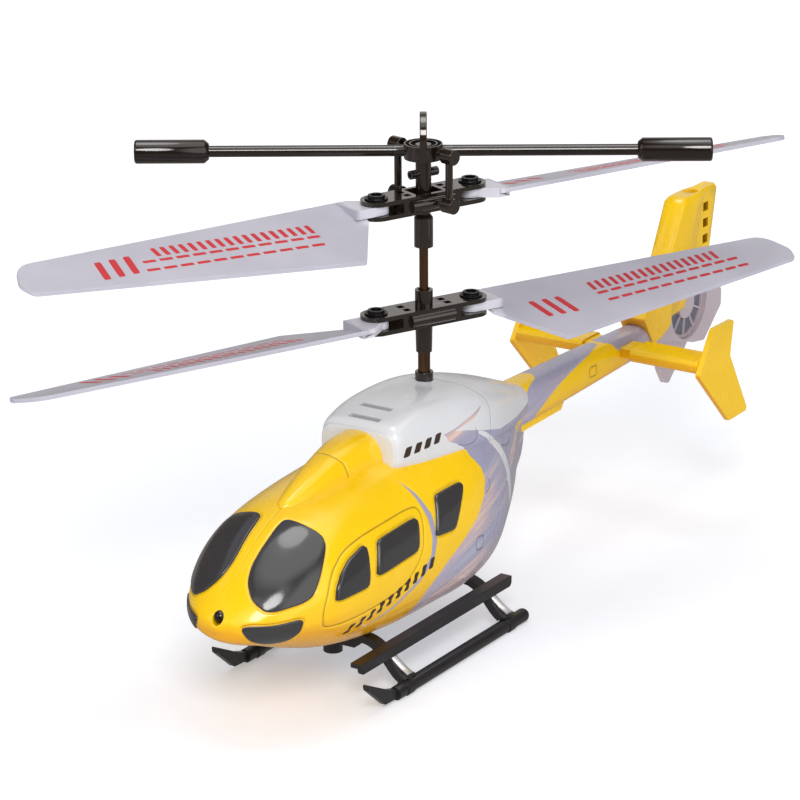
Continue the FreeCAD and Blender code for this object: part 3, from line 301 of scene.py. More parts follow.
def groove(distance, half_width, depth):
    """A rounded channel where distance is near zero."""
    t = np.clip(np.abs(distance) / half_width, 0, 1)
    return -depth * (1 + np.cos(math.pi * t)) / 2


def recess(distance, depth, wall=0.3):
    """A sunken floor where distance is negative."""
    t = np.clip(-distance / wall, 0, 1)
    return -depth * t * t * (3 - 2 * t)


# ---- mesh helpers ----
def new_object(name, points, faces, body, smooth=True):
    data = bpy.data.meshes.new(name)
    metres = np.array(points) * MM + np.array((0, MAST_Y, -GROUND))
    data.from_pydata(metres.tolist(), [], faces)
    data.update()
    if smooth:
        data.shade_smooth()
    thing = bpy.data.objects.new(name, data)
    bpy.context.scene.collection.objects.link(thing)
    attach(thing, body)
    return thing


def paint_layers(thing, **layers):
    """Stores distances to painted shapes and seams for the materials to read."""
    for name, values in layers.items():
        layer = thing.data.attributes.new(name, "FLOAT", "POINT")
        layer.data.foreach_set("value", np.asarray(values, np.float32))


def thicken(thing, thickness):
    """Gives a skin its moulded wall."""
    wall = thing.modifiers.new("wall", "SOLIDIFY")
    wall.thickness = thickness * MM
    wall.offset = -1


def fused(name, parts, body):
    """Joins lists of points and faces into one piece."""
    points = []
    faces = []
    for part_points, part_faces in parts:
        start = len(points)
        points.extend(part_points)
        faces.extend([tuple(i + start for i in face) for face in part_faces])
    return new_object(name, points, faces, body)


def flipped(points, faces):
    """The starboard copy of a port shape."""
    return [(-p[0], p[1], p[2]) for p in points], [tuple(reversed(f)) for f in faces]


def tree_of(points, faces):
    return BVHTree.FromPolygons([tuple(p) for p in points], faces)


# ---- materials ----
def srgb(code):
    values = [int(code[i:i + 2], 16) / 255 for i in (0, 2, 4)]
    linear = [v / 12.92 if v <= 0.04045 else ((v + 0.055) / 1.055) ** 2.4 for v in values]
    return (linear[0], linear[1], linear[2], 1.0)


YELLOW = srgb("FFCF02")
# deep yellow: the painted shade on faces turned down and forward, and faint random patches
DEEP_YELLOW = srgb("E29A00")
LAVENDER = srgb("A3A2BB")
MAUVE = srgb("C0AFB7")
PEACH = srgb("F0C6AE")
PALE_LAVENDER = srgb("C6C2D0")
WHITE = srgb("DCDDE0")
CHARCOAL = srgb("39393B")
BROWN = srgb("3A2A1E")
SLOT_BROWN = srgb("5E3C00")


class Shader:
    """A material and short ways to add its nodes."""

    def __init__(self, name):
        self.material = bpy.data.materials.new(name)
        self.material.use_nodes = True
        self.tree = self.material.node_tree
        self.surface = self.tree.nodes["Principled BSDF"]

    def node(self, kind, inputs=None, **settings):
        made = self.tree.nodes.new(kind)
        for key, value in settings.items():
            setattr(made, key, value)
        for key, value in (inputs or {}).items():
            self.put(made.inputs[key], value)
        return made

    def put(self, socket, value):
        if isinstance(value, bpy.types.NodeSocket):
            self.tree.links.new(value, socket)
        else:
            socket.default_value = value

    def math(self, operation, a, b=0.0, clamp=False):
        made = self.node("ShaderNodeMath", {0: a, 1: b}, operation=operation, use_clamp=clamp)
        return made.outputs[0]

    def mix(self, share, first, second):
        made = self.node("ShaderNodeMix", data_type="RGBA")
        self.put(made.inputs["Factor"], share)
        self.put(made.inputs[6], first)
        self.put(made.inputs[7], second)
        return made.outputs[2]

    def place(self):
        return self.node("ShaderNodeTexCoord").outputs["Object"]

    def stretched(self, lengths, turn=(0, 0, 0)):
        """Coordinates for streaks of the given lengths, turned by the given angles."""
        made = self.node("ShaderNodeMapping", {"Vector": self.place()}, vector_type="TEXTURE")
        made.inputs["Scale"].default_value = lengths
        made.inputs["Rotation"].default_value = turn
        return made.outputs[0]

    def noise(self, scale, detail=3.0, vector=None, roughness=0.5):
        made = self.node("ShaderNodeTexNoise", {"Scale": scale, "Detail": detail,
                                                "Roughness": roughness})
        self.put(made.inputs["Vector"], vector if vector is not None else self.place())
        return made.outputs["Fac"]

    def range(self, value, low, high, new_low, new_high):
        made = self.node("ShaderNodeMapRange", {0: value, 1: low, 2: high, 3: new_low, 4: new_high})
        return made.outputs[0]

    def layer(self, name, soften=0.05):
        """1 inside a painted shape and 0 outside, from the distance stored on the mesh."""
        read = self.node("ShaderNodeAttribute", attribute_name=name)
        return self.range(read.outputs["Fac"], -soften, soften, 1.0, 0.0)

    def lines(self, colour, strength=0.62):
        """Paints shade into a colour along the moulded seam and arc grooves stored on the mesh."""
        marks = []
        for name in ("seam", "arc"):
            read = self.node("ShaderNodeAttribute", attribute_name=name)
            away = self.math("ABSOLUTE", read.outputs["Fac"])
            marks.append(self.range(away, 0.07, 0.22, strength, 0.0))
        mark = self.math("MAXIMUM", *marks)
        dark = self.node("ShaderNodeHueSaturation", {"Color": colour, "Value": 0.2,
                                                     "Saturation": 1.05})
        return self.mix(mark, colour, dark.outputs[0])

    def finish(self, colour, roughness, coat=0.0, bump=0.0, grain=2500.0, metallic=0.0,
               spread=0.06):
        """Ends a material with fine grain, uneven gloss and a clear coat."""
        fine = self.noise(grain, 4.0)
        broad = self.noise(160.0, 3.0)
        tint = self.range(broad, 0.3, 0.7, 0.985, 1.01)
        shade = self.node("ShaderNodeHueSaturation", {"Color": colour, "Value": tint})
        self.put(self.surface.inputs["Base Color"], shade.outputs[0])
        gloss = self.range(broad, 0.3, 0.7, roughness - spread, roughness + spread)
        gloss = self.math("ADD", gloss, self.range(fine, 0.3, 0.7, -0.02, 0.02), clamp=True)
        self.put(self.surface.inputs["Roughness"], gloss)
        self.surface.inputs["Metallic"].default_value = metallic
        self.surface.inputs["Coat Weight"].default_value = coat
        self.surface.inputs["Coat Roughness"].default_value = 0.06
        if bump:
            relief = self.node("ShaderNodeBump", {"Strength": bump, "Distance": 0.00004,
                                                  "Height": fine})
            self.put(self.surface.inputs["Normal"], relief.outputs[0])
        return self.material


PINK_LEVEL = 36.6


def streaks(shader, low_only=False):
    """Lavender paint with pink and peach streaks that rise gently towards the tail."""
    broad = shader.noise(1.0, 2.0, shader.stretched((0.03, 0.05, 0.006), (0.15, 0, 0)), 0.5)
    fine = shader.noise(1.0, 3.0, shader.stretched((0.03, 0.03, 0.0016), (0.2, 0, 0)), 0.55)
    pink_share = shader.range(broad, 0.43, 0.56, 0.0, 1.0)
    if low_only:
        height = shader.node("ShaderNodeSeparateXYZ", {0: shader.place()}).outputs[2]
        level = PINK_LEVEL * MM - GROUND
        under = shader.range(height, level, level + 0.0016, 1.0, 0.12)
        pink_share = shader.math("MULTIPLY", pink_share, under)
    both = shader.math("MULTIPLY", pink_share, shader.range(fine, 0.50, 0.62, 0.0, 1.0))
    light_share = shader.range(fine, 0.60, 0.70, 0.0, 0.5)
    colour = shader.mix(pink_share, LAVENDER, MAUVE)
    colour = shader.mix(both, colour, PEACH)
    return shader.mix(light_share, colour, PALE_LAVENDER)


def yellow_colour(shader):
    """Bright yellow with painted shade: it turns deep yellow where the moulding faces the ground or
    forward, with faint random patches.
    """
    facing = shader.node("ShaderNodeNewGeometry").outputs["Normal"]
    parts = shader.node("ShaderNodeSeparateXYZ", {0: facing})
    forward = shader.math("MULTIPLY", shader.math("MINIMUM", parts.outputs[1], 0.0), 0.6)
    lit = shader.math("ADD", parts.outputs[2], forward)
    patches = shader.range(shader.noise(35.0, 2.0), 0.35, 0.65, 0.0, 0.05)
    # painted shade: faces turned down and forward blend towards deep yellow
    share = shader.math("ADD", patches, shader.range(lit, -0.75, 0.05, 0.8, 0.0), clamp=True)
    return shader.mix(share, YELLOW, DEEP_YELLOW)


def painted_yellow():
    shader = Shader("yellow_shell_paint")
    colour = yellow_colour(shader)
    colour = shader.mix(shader.layer("rear_paint"), colour, streaks(shader))
    colour = shader.mix(shader.layer("stripe"), colour, LAVENDER)
    colour = shader.mix(shader.layer("crescent"), colour, WHITE)
    return shader.finish(shader.lines(colour), 0.26, coat=0.4, bump=0.12)


def painted_boom():
    shader = Shader("boom_paint")
    colour = shader.mix(shader.layer("boom_paint"), yellow_colour(shader),
                        streaks(shader, low_only=True))
    return shader.finish(shader.lines(colour), 0.24, coat=0.35, bump=0.12)


def painted_cowl():
    shader = Shader("white_cowl_paint")
    colour = shader.mix(shader.layer("cowl_paint"), WHITE, streaks(shader))
    colour = shader.mix(shader.layer("crescent"), colour, WHITE)
    # painted shade: the vent recesses are darkened towards charcoal
    vent = shader.math("MULTIPLY", shader.layer("vent", 0.12), 0.55)
    colour = shader.mix(vent, colour, CHARCOAL)
    return shader.finish(shader.lines(colour, 0.45), 0.22, coat=0.4, bump=0.1)


def yellow_plastic():
    """Yellow with brown shade deep inside its slots and holes."""
    shader = Shader("yellow_plastic")
    open_air = shader.node("ShaderNodeAmbientOcclusion", {"Distance": 0.003}, only_local=True)
    shade = shader.range(open_air.outputs["AO"], 0.2, 0.75, 0.9, 0.0)
    colour = shader.mix(shade, yellow_colour(shader), SLOT_BROWN)
    return shader.finish(colour, 0.26, coat=0.35, bump=0.12)


def painted_hump():
    shader = Shader("hump_paint")
    return shader.finish(shader.lines(yellow_colour(shader)), 0.26, coat=0.4, bump=0.12)


def blade_material():
    """Grey blades with pale root pads."""
    shader = Shader("blade_plastic")
    parts = shader.node("ShaderNodeSeparateXYZ", {0: shader.place()})
    across = shader.math("POWER", parts.outputs[0], 2.0)
    along = shader.math("POWER", shader.math("SUBTRACT", parts.outputs[1], MAST_Y), 2.0)
    radius = shader.math("SQRT", shader.math("ADD", across, along))
    pad = shader.range(radius, 0.0176, 0.0182, 1.0, 0.0)
    sheet = shader.mix(shader.range(shader.noise(60.0), 0.35, 0.65, 0.0, 1.0), srgb("B6B4C0"),
                       srgb("BEBCC8"))
    return shader.finish(shader.mix(pad, sheet, srgb("D0CED8")), 0.36, 0.15, 0.15, 2200.0)


def plain(name, colour, roughness, coat=0.0, bump=0.15, grain=2500.0, metallic=0.0, second=None):
    shader = Shader(name)
    second = second or tuple(c * 0.82 for c in colour[:3]) + (1.0,)
    share = shader.range(shader.noise(70.0, 4.0), 0.35, 0.7, 0.0, 0.4)
    return shader.finish(shader.mix(share, colour, second), roughness, coat, bump, grain, metallic)


def brushed(name, colour, roughness, metallic=1.0):
    shader = Shader(name)
    run = shader.stretched((0.0003, 0.0003, 0.011))
    lines = shader.noise(1.0, 4.0, run)
    share = shader.range(lines, 0.3, 0.7, 0.0, 1.0)
    second = tuple(c * 0.6 for c in colour[:3]) + (1.0,)
    return shader.finish(shader.mix(share, colour, second), roughness, 0.0, 0.2, 1500.0, metallic)


def board_material():
    shader = Shader("board_green")
    tracks = shader.node("ShaderNodeTexBrick", {"Vector": shader.place(), "Scale": 900.0})
    colour = shader.mix(tracks.outputs["Fac"], (0.02, 0.16, 0.07, 1), (0.05, 0.30, 0.14, 1))
    return shader.finish(colour, 0.4, 0.2, 0.2)


MATERIALS = {
    "yellow_shell": yellow_plastic(),
    "dark_glazing": plain("charcoal_glazing", CHARCOAL, 0.16, 0.3, 0.06),
    "duct_grey": plain("mauve_plastic", srgb("C2B5BC"), 0.32, 0.2, 0.2),
    "skid_black": plain("skid_plastic", srgb("242427"), 0.36, 0.12, 0.12, 1800.0),
    "head_black": plain("head_nylon", srgb("1C1713"), 0.16, 0.9, 0.1, 1800.0, 0.25, srgb("2E2014")),
    "flybar_black": plain("flybar_lacquer", srgb("15110E"), 0.16, 0.5, 0.1, 1800.0, 0.2,
                          srgb("2B1B10")),
    "shaft_steel": brushed("shaft_nickel", srgb("6B503A"), 0.2, 0.9),
    "screw_steel": brushed("screw_zinc", srgb("2A2A2C"), 0.28, 0.8),
    "blade_grey": blade_material(),
    "gear_white": plain("gear_nylon", srgb("E2E0D8"), 0.4, 0.0, 0.2),
    "bush_brass": brushed("bush_brass", srgb("C9A45C"), 0.3),
    "motor_can": brushed("motor_steel", srgb("B8B8BA"), 0.3),
    "battery_wrap": plain("battery_pouch", srgb("8F949C"), 0.35, 0.0, 0.4, 900.0),
    "board_green": board_material(),
    "lamp_clear": plain("lamp_plastic", srgb("100C0A"), 0.25, 0.2, 0.05),
}
PAINT_SHELL = painted_yellow()
PAINT_BOOM = painted_boom()
PAINT_COWL = painted_cowl()
PAINT_HUMP = painted_hump()
RED_PRINT = plain("red_print", srgb("C8202A"), 0.4, 0.0, 0.1)
BROWN_PRINT = plain("brown_print", BROWN, 0.35, 0.1, 0.1)
# a near-white painted highlight laid on the skid struts
STRUT_HIGHLIGHT = plain("strut_highlight_paint", srgb("F4F4F6"), 0.2, 0.4, 0.05, metallic=0.3)
FAN_RECESS = plain("fan_recess", srgb("6C7080"), 0.4, 0.1, 0.2)
SLOTS = {row["node"]: row["material_slot"] for row in frame["record"]["subparts"]}


def finish_piece(piece, material, node_slot, *nodes):
    piece.data.materials.clear()
    piece.data.materials.append(material)
    if nodes:
        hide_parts(*nodes)
    return piece


# ---- fuselage ----
SKIN_WALL = 0.9
HUMP_WALL = 0.6
PANE_GAP = 0.15
PANE_GROOVE = (0.35, 0.25)  # half width and depth
ARC_GROOVE = (0.34, 0.22)
WELL_RADIUS = 1.5
WELL_DEPTH = 1.4
SCREW_WELLS = [(-60.0, 24.0), (-27.0, 42.0), (22.0, 19.0), (24.0, 37.5)]
NOSE_HOLE_Z = 27.2
NOSE_HOLE_R = 1.3
BELLY_PORT = (5.0, 8.0, -19.0, -13.0)
SEAM_GAP = 0.05


def side_windows():
    return [rounded(outline, 3, 0.14) for outline in (QUARTER_WINDOW, DOOR_WINDOW, REAR_WINDOW)]


def nose_cap(loft, angles):
    """Rings that close the blunt tip of the nose."""
    first = loft.rows[0]
    rings = []
    for share in (0.03, 0.2, 0.4, 0.6, 0.8):
        ring = loft.section(first, angles)
        ring[:, 0] *= share
        ring[:, 2] = first[3] + (ring[:, 2] - first[3]) * share
        ring[:, 1] -= 0.24 * (1 - share ** 2)
        rings.append(ring)
    return rings


def fuselage_skin(starboard):
    loft = Loft(FUSELAGE, CELL)
    steps = 240
    columns = []
    tip_angles = even_angles(loft, loft.rows[0], -math.pi / 2, math.pi / 2, steps)
    columns.extend(nose_cap(loft, tip_angles))
    for row in loft.rows:
        columns.append(loft.section(row, even_angles(loft, row, -math.pi / 2, math.pi / 2, steps)))
    points = np.concatenate(columns)
    faces = grid_faces(len(columns), steps)
    normals = normals_of(points, faces)
    side = points[:, 1:3]
    seam = np.minimum(outline_distance(side, rounded(DOOR, 3, 0.2)),
                      outline_distance(side, rounded(SQUARE_MARK, 3, 0.15)))
    lift = groove(seam, 0.34, 0.25)
    for outline in side_windows():
        lift += groove(outline_distance(side, outline) - PANE_GAP, *PANE_GROOVE)
    for outline, facing in ((WINDSHIELD, WINDSHIELD_FACING), (CHIN_WINDOW, CHIN_FACING)):
        distance = facing_distance(points, normals, rounded(outline, 3, 0.2), facing)
        lift += groove(distance - PANE_GAP, *PANE_GROOVE)
    arcs = np.full(len(points), FAR)
    for arc in ARCS[1:]:
        arcs = np.minimum(arcs, line_distance(side, rounded_line(arc)))
    lift += groove(arcs, *ARC_GROOVE)
    from_hole = np.hypot(points[:, 0], points[:, 2] - NOSE_HOLE_Z) - NOSE_HOLE_R
    lift += np.where(points[:, 1] < -70, recess(from_hole, 2.0, 0.25), 0)
    x0, x1, y0, y1 = BELLY_PORT
    port = [(x0, y0), (x1, y0), (x1, y1), (x0, y1)]
    below = outline_distance(points[:, :2], port)
    lift += np.where(points[:, 2] < 20, recess(below, 0.9, 0.3), 0)
    if starboard:
        for y, z in SCREW_WELLS:
            away = np.hypot(points[:, 1] - y, points[:, 2] - z) - WELL_RADIUS
            lift += recess(away, WELL_DEPTH, 0.3)
    shaped = points + normals * lift[:, None]
    shaped[:, 0] = np.maximum(shaped[:, 0], 0.0) + SEAM_GAP / 2
    return points, shaped, faces, seam, arcs


def rounded_line(line, rounds=3):
    points = np.array(line, float)
    for _ in range(rounds):
        inner = []
        for a, b in zip(points[:-1], points[1:]):
            inner.extend([a + (b - a) * 0.25, a + (b - a) * 0.75])
        points = np.array([points[0]] + inner[1:-1] + [points[-1]])
    return points


def crescent_distance(flat):
    return outline_distance(flat, rounded(CRESCENT, 1, 0.2)) - 0.25


def make_fuselage():
    trees = None
    for side, starboard in (("left", False), ("right", True)):
        points, shaped, faces, seam, arcs = fuselage_skin(starboard)
        if trees is None:
            trees = tree_of(points, faces)
        final, final_faces = (flipped(shaped, faces) if starboard else (shaped, faces))
        skin = new_object("fuselage_skin_" + side, final, final_faces, "airframe")
        flat = points[:, 1:3]
        paint_layers(skin, rear_paint=outline_distance(flat, REAR_PAINT),
                     stripe=taper_distance(flat, STRIPE, STRIPE_HALF),
                     crescent=crescent_distance(flat), seam=seam, arc=arcs)
        thicken(skin, SKIN_WALL)
        finish_piece(skin, PAINT_SHELL, "yellow_shell", "fuselage_shell_" + side)
    return trees


# ---- patches laid on a surface ----
CAST_FROM = 60.0
SIDE_OUTLINE_X = 14.0
PRINT_PATCH = (0.03, 0.2, 0.05, 3)  # rise, sink, edge and rings of a printed bar


def cast(tree, point, direction):
    """The surface point and normal met by a line along the facing direction."""
    start = Vector(point) + Vector(direction) * CAST_FROM
    hit = tree.ray_cast(start, -Vector(direction))
    if hit[0] is None:
        hit = tree.find_nearest(Vector(point))
    return hit[0], hit[1]


def patch(tree, outline, facing, rise, sink=0.6, edge=0.3, rings=7):
    """A raised panel that follows the surface inside a closed outline."""
    direction = np.array(facing, float)
    direction /= np.linalg.norm(direction)
    outline = np.array(outline, float)
    centre = outline.mean(axis=0)
    steps = [(0.0, -sink), (0.0, rise - edge * 0.6), (edge * 0.35, rise - edge * 0.12),
             (edge, rise)]
    points = []
    reach = np.linalg.norm(outline - centre, axis=1)
    for inset, height in steps:
        for p, r in zip(outline, reach):
            q = centre + (p - centre) * (1 - inset / r)
            spot, normal = cast(tree, q, direction)
            points.append(spot + normal * height)
    for ring in range(1, rings):
        share = 1 - ring / rings
        for p, r in zip(outline, reach):
            q = centre + (p - centre) * (1 - edge / r) * share
            spot, normal = cast(tree, q, direction)
            points.append(spot + normal * rise)
    spot, normal = cast(tree, centre, direction)
    points.append(spot + normal * rise)
    count = len(outline)
    faces = grid_faces(len(steps) + rings - 1, count, closed=True)
    last = (len(steps) + rings - 2) * count
    tip = len(points) - 1
    for j in range(count):
        faces.append((last + j, tip, last + (j + 1) % count))
    return fix_winding([tuple(p) for p in points], faces, direction)


def fix_winding(points, faces, direction):
    """Turns the faces so that the panel looks outwards."""
    a, b, c = (Vector(points[i]) for i in faces[-1])
    if (b - a).cross(c - a).dot(Vector(direction)) < 0:
        faces = [tuple(reversed(f)) for f in faces]
    return points, faces


def side_outline(outline):
    return [(SIDE_OUTLINE_X, y, z) for y, z in outline]


def make_glazing(tree):
    front = [patch(tree, rounded(WINDSHIELD, 3, 0.2), WINDSHIELD_FACING, 0.32),
             patch(tree, rounded(CHIN_WINDOW, 3, 0.2), CHIN_FACING, 0.32)]
    sides = [patch(tree, side_outline(outline), SIDE, 0.55, edge=0.6) for outline in side_windows()]
    for name, parts in (("front_glazing", front), ("side_glazing", sides)):
        for side in ("left", "right"):
            shown = parts if side == "left" else [flipped(*part) for part in parts]
            panes = fused("%s_panes_%s" % (name, side), shown, "airframe")
            finish_piece(panes, MATERIALS["dark_glazing"], "dark_glazing", "%s_%s" % (name, side))


def slanted_bar(y, z, length, height, slant):
    return [(y, z), (y + length, z), (y + length + slant, z + height), (y + slant, z + height)]


def make_side_marks(tree, cowl_tree):
    """Plain slanted bars low on the cabin side and on the cowl."""
    cabin = []
    for index in range(10):
        y = -54.5 + index * 3.05
        z = 19.2 + index * 0.62
        bar = slanted_bar(y, z, 1.7, 2.3, 0.9)
        cabin.append(patch(tree, side_outline(rounded(bar, 2, 0.12)), SIDE, *PRINT_PATCH))
    hood = []
    for index in range(4):
        bar = slanted_bar(-23.6 + index * 3.1, 46.6 + index * 0.15, 1.9, 2.1, 0.9)
        hood.append(patch(cowl_tree, side_outline(rounded(bar, 2, 0.12)), SIDE, *PRINT_PATCH))
    for side in ("left", "right"):
        parts = cabin + hood
        shown = parts if side == "left" else [flipped(*part) for part in parts]
        bars = fused("side_bars_" + side, shown, "airframe")
        finish_piece(bars, BROWN_PRINT, "skid_black")


# ---- covers on top ----
OUTSIDE_LEVEL = 0.985  # a cover starts just under the surface of the body


def draped_skin(rows, body, steps, front_edge, rear_edge):
    """A cover whose lower edge follows the body underneath."""
    loft = Loft(rows, CELL)
    search = np.linspace(-math.radians(75), math.pi / 2, 500)
    columns = []
    bent = []
    for share in (1.0, 0.72, 0.4, 0.15, 0.0) if front_edge else ():
        turn = math.acos(share)
        bent.append((loft.rows[0], -front_edge * (1 - math.sin(turn)), -front_edge * math.cos(turn)))
    for row in loft.rows:
        bent.append((row, 0.0, 0.0))
    for share in (0.4, 0.8, 1.0) if rear_edge else ():
        bent.append((loft.rows[-1], -rear_edge * (1 - math.sqrt(1 - share ** 2)), rear_edge * share))
    for row, offset, shift in bent:
        ring = loft.section(row, search, offset)
        outside = body.level(ring[:, 0], ring[:, 1], ring[:, 2]) > OUTSIDE_LEVEL
        start = search[np.argmax(outside)] if outside.any() else math.pi / 2 - 0.02
        turns = np.linspace(start, math.pi / 2, 300)
        fine = loft.section(row, turns, offset)
        run = np.concatenate([[0], np.cumsum(np.linalg.norm(np.diff(fine, axis=0), axis=1))])
        angles = np.interp(np.linspace(0, run[-1], steps), run, turns)
        half = loft.section(row, angles, offset)
        half[:, 1] += shift
        other = half[:-1][::-1] * np.array((-1, 1, 1))
        columns.append(np.concatenate([half, other]))
    count = len(columns[0])
    if front_edge:
        columns = closing_rings(columns[0])[::-1] + columns
    if rear_edge:
        columns = columns + closing_rings(columns[-1])
    points = np.concatenate(columns)
    return points, grid_faces(len(columns), count)


def closing_rings(ring):
    """Shrinks an end ring towards its middle."""
    middle = np.array((0.0, ring[0][1], (ring[:, 2].max() + ring[:, 2].min()) / 2 - 1.0))
    return [middle + (ring - middle) * share for share in (0.8, 0.5, 0.2, 0.02)]


def make_cowl(body):
    points, faces = draped_skin(COWL, body, 110, 0.5, 0.6)
    normals = normals_of(points, faces)
    lift = np.zeros(len(points))
    vents = np.full(len(points), FAR)
    for y in (-18.5, -22.9):
        slot = [(-3.9, y - 0.6), (3.7, y - 0.6), (3.9, y + 0.6), (-3.7, y + 0.6)]
        distance = outline_distance(points[:, :2], slot)
        lift += np.where(points[:, 2] > 50, recess(distance, 0.7, 0.22), 0)
        vents = np.minimum(vents, distance)
    seam_y = np.interp(points[:, 2], (42.0, 48.5, 50.8, 52.9, 54.3, 55.1),
                       (7.1, 7.6, 7.5, 5.5, 4.4, 1.8))
    seam = points[:, 1] - seam_y
    lift += groove(seam, 0.3, 0.15)
    side = points[:, 1:3]
    arcs = line_distance(side, rounded_line(ARCS[0]))
    lift += groove(arcs, *ARC_GROOVE)
    base = points + normals * lift[:, None]
    mast = np.hypot(points[:, 0], points[:, 1])
    base[:, 2] += np.where(points[:, 2] > 50, 0.55 * np.clip((4.4 - mast) / 3.0, 0, 1) ** 1.5, 0)
    cowl = new_object("engine_cowl_skin", base, faces, "airframe")
    paint_layers(cowl, cowl_paint=outline_distance(side, COWL_PAINT),
                 crescent=crescent_distance(side), seam=seam, arc=arcs, vent=vents)
    thicken(cowl, SKIN_WALL)
    finish_piece(cowl, PAINT_COWL, "white_cowl", "engine_cowl")
    return tree_of(points, faces)


def make_hump(body):
    points, faces = draped_skin(HUMP, body, 70, 0.4, 0.0)
    normals = normals_of(points, faces)
    seam_y = np.interp(points[:, 2], (45.7, 48.4, 50.4), (-36.5, -36.8, -38.1))
    seam = points[:, 1] - seam_y
    lift = groove(seam, 0.34, 0.2)
    hump = new_object("roof_hump_skin", points + normals * lift[:, None], faces, "airframe")
    paint_layers(hump, seam=seam, arc=np.full(len(points), FAR))
    thicken(hump, HUMP_WALL)
    finish_piece(hump, PAINT_HUMP, "yellow_shell", "roof_hump")


# ---- tail boom ----
BOOM_FRONT_PATCH = ((0.0, 43.7), (2.3, 42.3), (3.8, 38.9), (5.0, 36.2), (6.5, 34.9), (9.0, 33.0))
BOOM_PATCH_START = ((0.0, 72.0), (1.1, 71.4), (3.2, 65.2), (5.0, 58.2), (6.5, 51.4), (8.7, 45.1),
                    (11.3, 39.9))
BOOM_PATCH_END = ((0.0, 73.2), (1.9, 73.8), (3.0, 75.2), (5.0, 76.4), (9.0, 82.0), (12.0, 84.0))


def make_boom():
    loft = Loft(BOOM, CELL * 1.2)
    steps = 140
    columns = []
    distances = []
    for row in loft.rows:
        angles = even_angles(loft, row, -math.pi, math.pi, steps + 1)[:-1]
        ring = loft.section(row, angles)
        columns.append(ring)
        around = np.minimum(np.abs(ring[:, 0]), 3.4) + np.maximum(row[2] - ring[:, 2], 0)
        front = np.interp(around, *zip(*BOOM_FRONT_PATCH))
        start = np.interp(around, *zip(*BOOM_PATCH_START))
        end = np.interp(around, *zip(*BOOM_PATCH_END))
        y = ring[:, 1]
        yellow = np.maximum(front - y, np.minimum(y - start, end - y))
        distances.append(yellow)
    points = np.concatenate(columns)
    faces = grid_faces(len(columns), steps, closed=True)
    faces.append(tuple(range(steps)))
    faces.append(tuple(reversed(range(len(points) - steps, len(points)))))
    normals = normals_of(points, [f for f in faces if len(f) == 4])
    mark = [(63.9, 40.3), (67.3, 40.3), (67.4, 37.9), (64.1, 37.9)]
    seam = outline_distance(points[:, 1:3], rounded(mark, 3, 0.15))
    lift = groove(seam, 0.36, 0.2)
    boom = new_object("tail_boom_skin", points + normals * lift[:, None], faces, "airframe")
    paint_layers(boom, boom_paint=np.concatenate(distances), seam=seam,
                 arc=np.full(len(points), FAR))
    finish_piece(boom, PAINT_BOOM, "yellow_shell")
    keel = refined("tail_boom", "boom_keel", 30, 0.15, keep=boom_keel_faces)
    finish_piece(keel, MATERIALS["yellow_shell"], "yellow_shell")
    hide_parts("tail_boom")


def boom_keel_faces(centre):
    """Only the ridge under the front of the boom."""
    spot = (centre - place(0, 0, 0)) / MM
    return 34.0 < spot.y < 55.2 and spot.z < 35.6 and abs(spot.x) < 2.7


# ---- pieces taken from the model, with soft edges ----
def refined(node, name, smooth_degrees=35, edge=0.12, keep=None):
    """A copy of a node with merged flats, smooth shading and small rounded edges."""
    data = frame["nodes"][node].data.copy()
    work = bmesh.new()
    work.from_mesh(data)
    bmesh.ops.remove_doubles(work, verts=work.verts, dist=2e-7)
    if keep:
        drop = [f for f in work.faces if not keep(f.calc_center_median())]
        bmesh.ops.delete(work, geom=drop, context="FACES")
    bmesh.ops.dissolve_limit(work, angle_limit=math.radians(0.4), verts=work.verts,
                             edges=work.edges)
    work.to_mesh(data)
    work.free()
    data.name = name
    data.shade_smooth()
    data.set_sharp_from_angle(angle=math.radians(smooth_degrees))
    thing = bpy.data.objects.new(name, data)
    bpy.context.scene.collection.objects.link(thing)
    body = frame["nodes"][node]["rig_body"]
    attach(thing, body)
    if edge:
        rounding = thing.modifiers.new("edge", "BEVEL")
        rounding.width = edge * MM
        rounding.segments = 2
        rounding.limit_method = "ANGLE"
        rounding.angle_limit = math.radians(smooth_degrees)
        rounding.use_clamp_overlap = True
        rounding.harden_normals = True
    return thing


# node: angle in degrees above which an edge stays sharp, and its rounding
EDGES = {
    "vertical_fin": (50, 0.25), "horizontal_stabilizer": (30, 0.2), "end_plate_left": (30, 0.35),
    "end_plate_right": (30, 0.35), "fan_duct": (30, 0.25), "tail_fan": (30, 0.08),
    "skid_runner_left": (35, 0.2), "skid_runner_right": (35, 0.2), "skid_strut_front": (35, 0.2),
    "skid_strut_rear": (35, 0.2), "step_rail_left": (35, 0.2), "step_rail_right": (35, 0.2),
    "lower_rotor_hub": (35, 0.15), "upper_blade_grip": (35, 0.15), "rotor_head": (35, 0.12),
    "head_loop": (40, 0.2), "flybar_ring": (35, 0.15), "flybar_rods": (40, 0.05),
    "flybar_weights": (40, 0.2), "link_a": (35, 0.15), "link_b": (35, 0.15),
    "shaft_collar": (35, 0.15), "mast_bearing_cap": (35, 0.12), "upper_blade_a": (30, 0.18),
    "upper_blade_b": (30, 0.18), "lower_blade_a": (30, 0.18), "lower_blade_b": (30, 0.18),
    "inner_shaft": (40, 0.05), "outer_shaft": (40, 0.05), "upper_blade_screws": (40, 0.1),
    "lower_blade_screws": (40, 0.1), "skid_screws": (40, 0.05), "nose_lamp": (40, 0.05),
}


def make_refined():
    for node, (degrees, edge) in EDGES.items():
        piece = refined(node, node + "_shown", degrees, edge)
        slot = SLOTS[node]
        finish_piece(piece, MATERIALS[slot], slot, node)


def dress_inner_nodes():
    """The nodes inside the shell keep their own meshes and get their finish."""
    for node, thing in frame["nodes"].items():
        if thing.hide_render:
            continue
        thing.data.materials.clear()
        thing.data.materials.append(MATERIALS.get(SLOTS[node], PAINT_SHELL))


# ---- blade print ----
PRINT_MIDDLE = 60.0
PRINT_SLOPE = 0.08


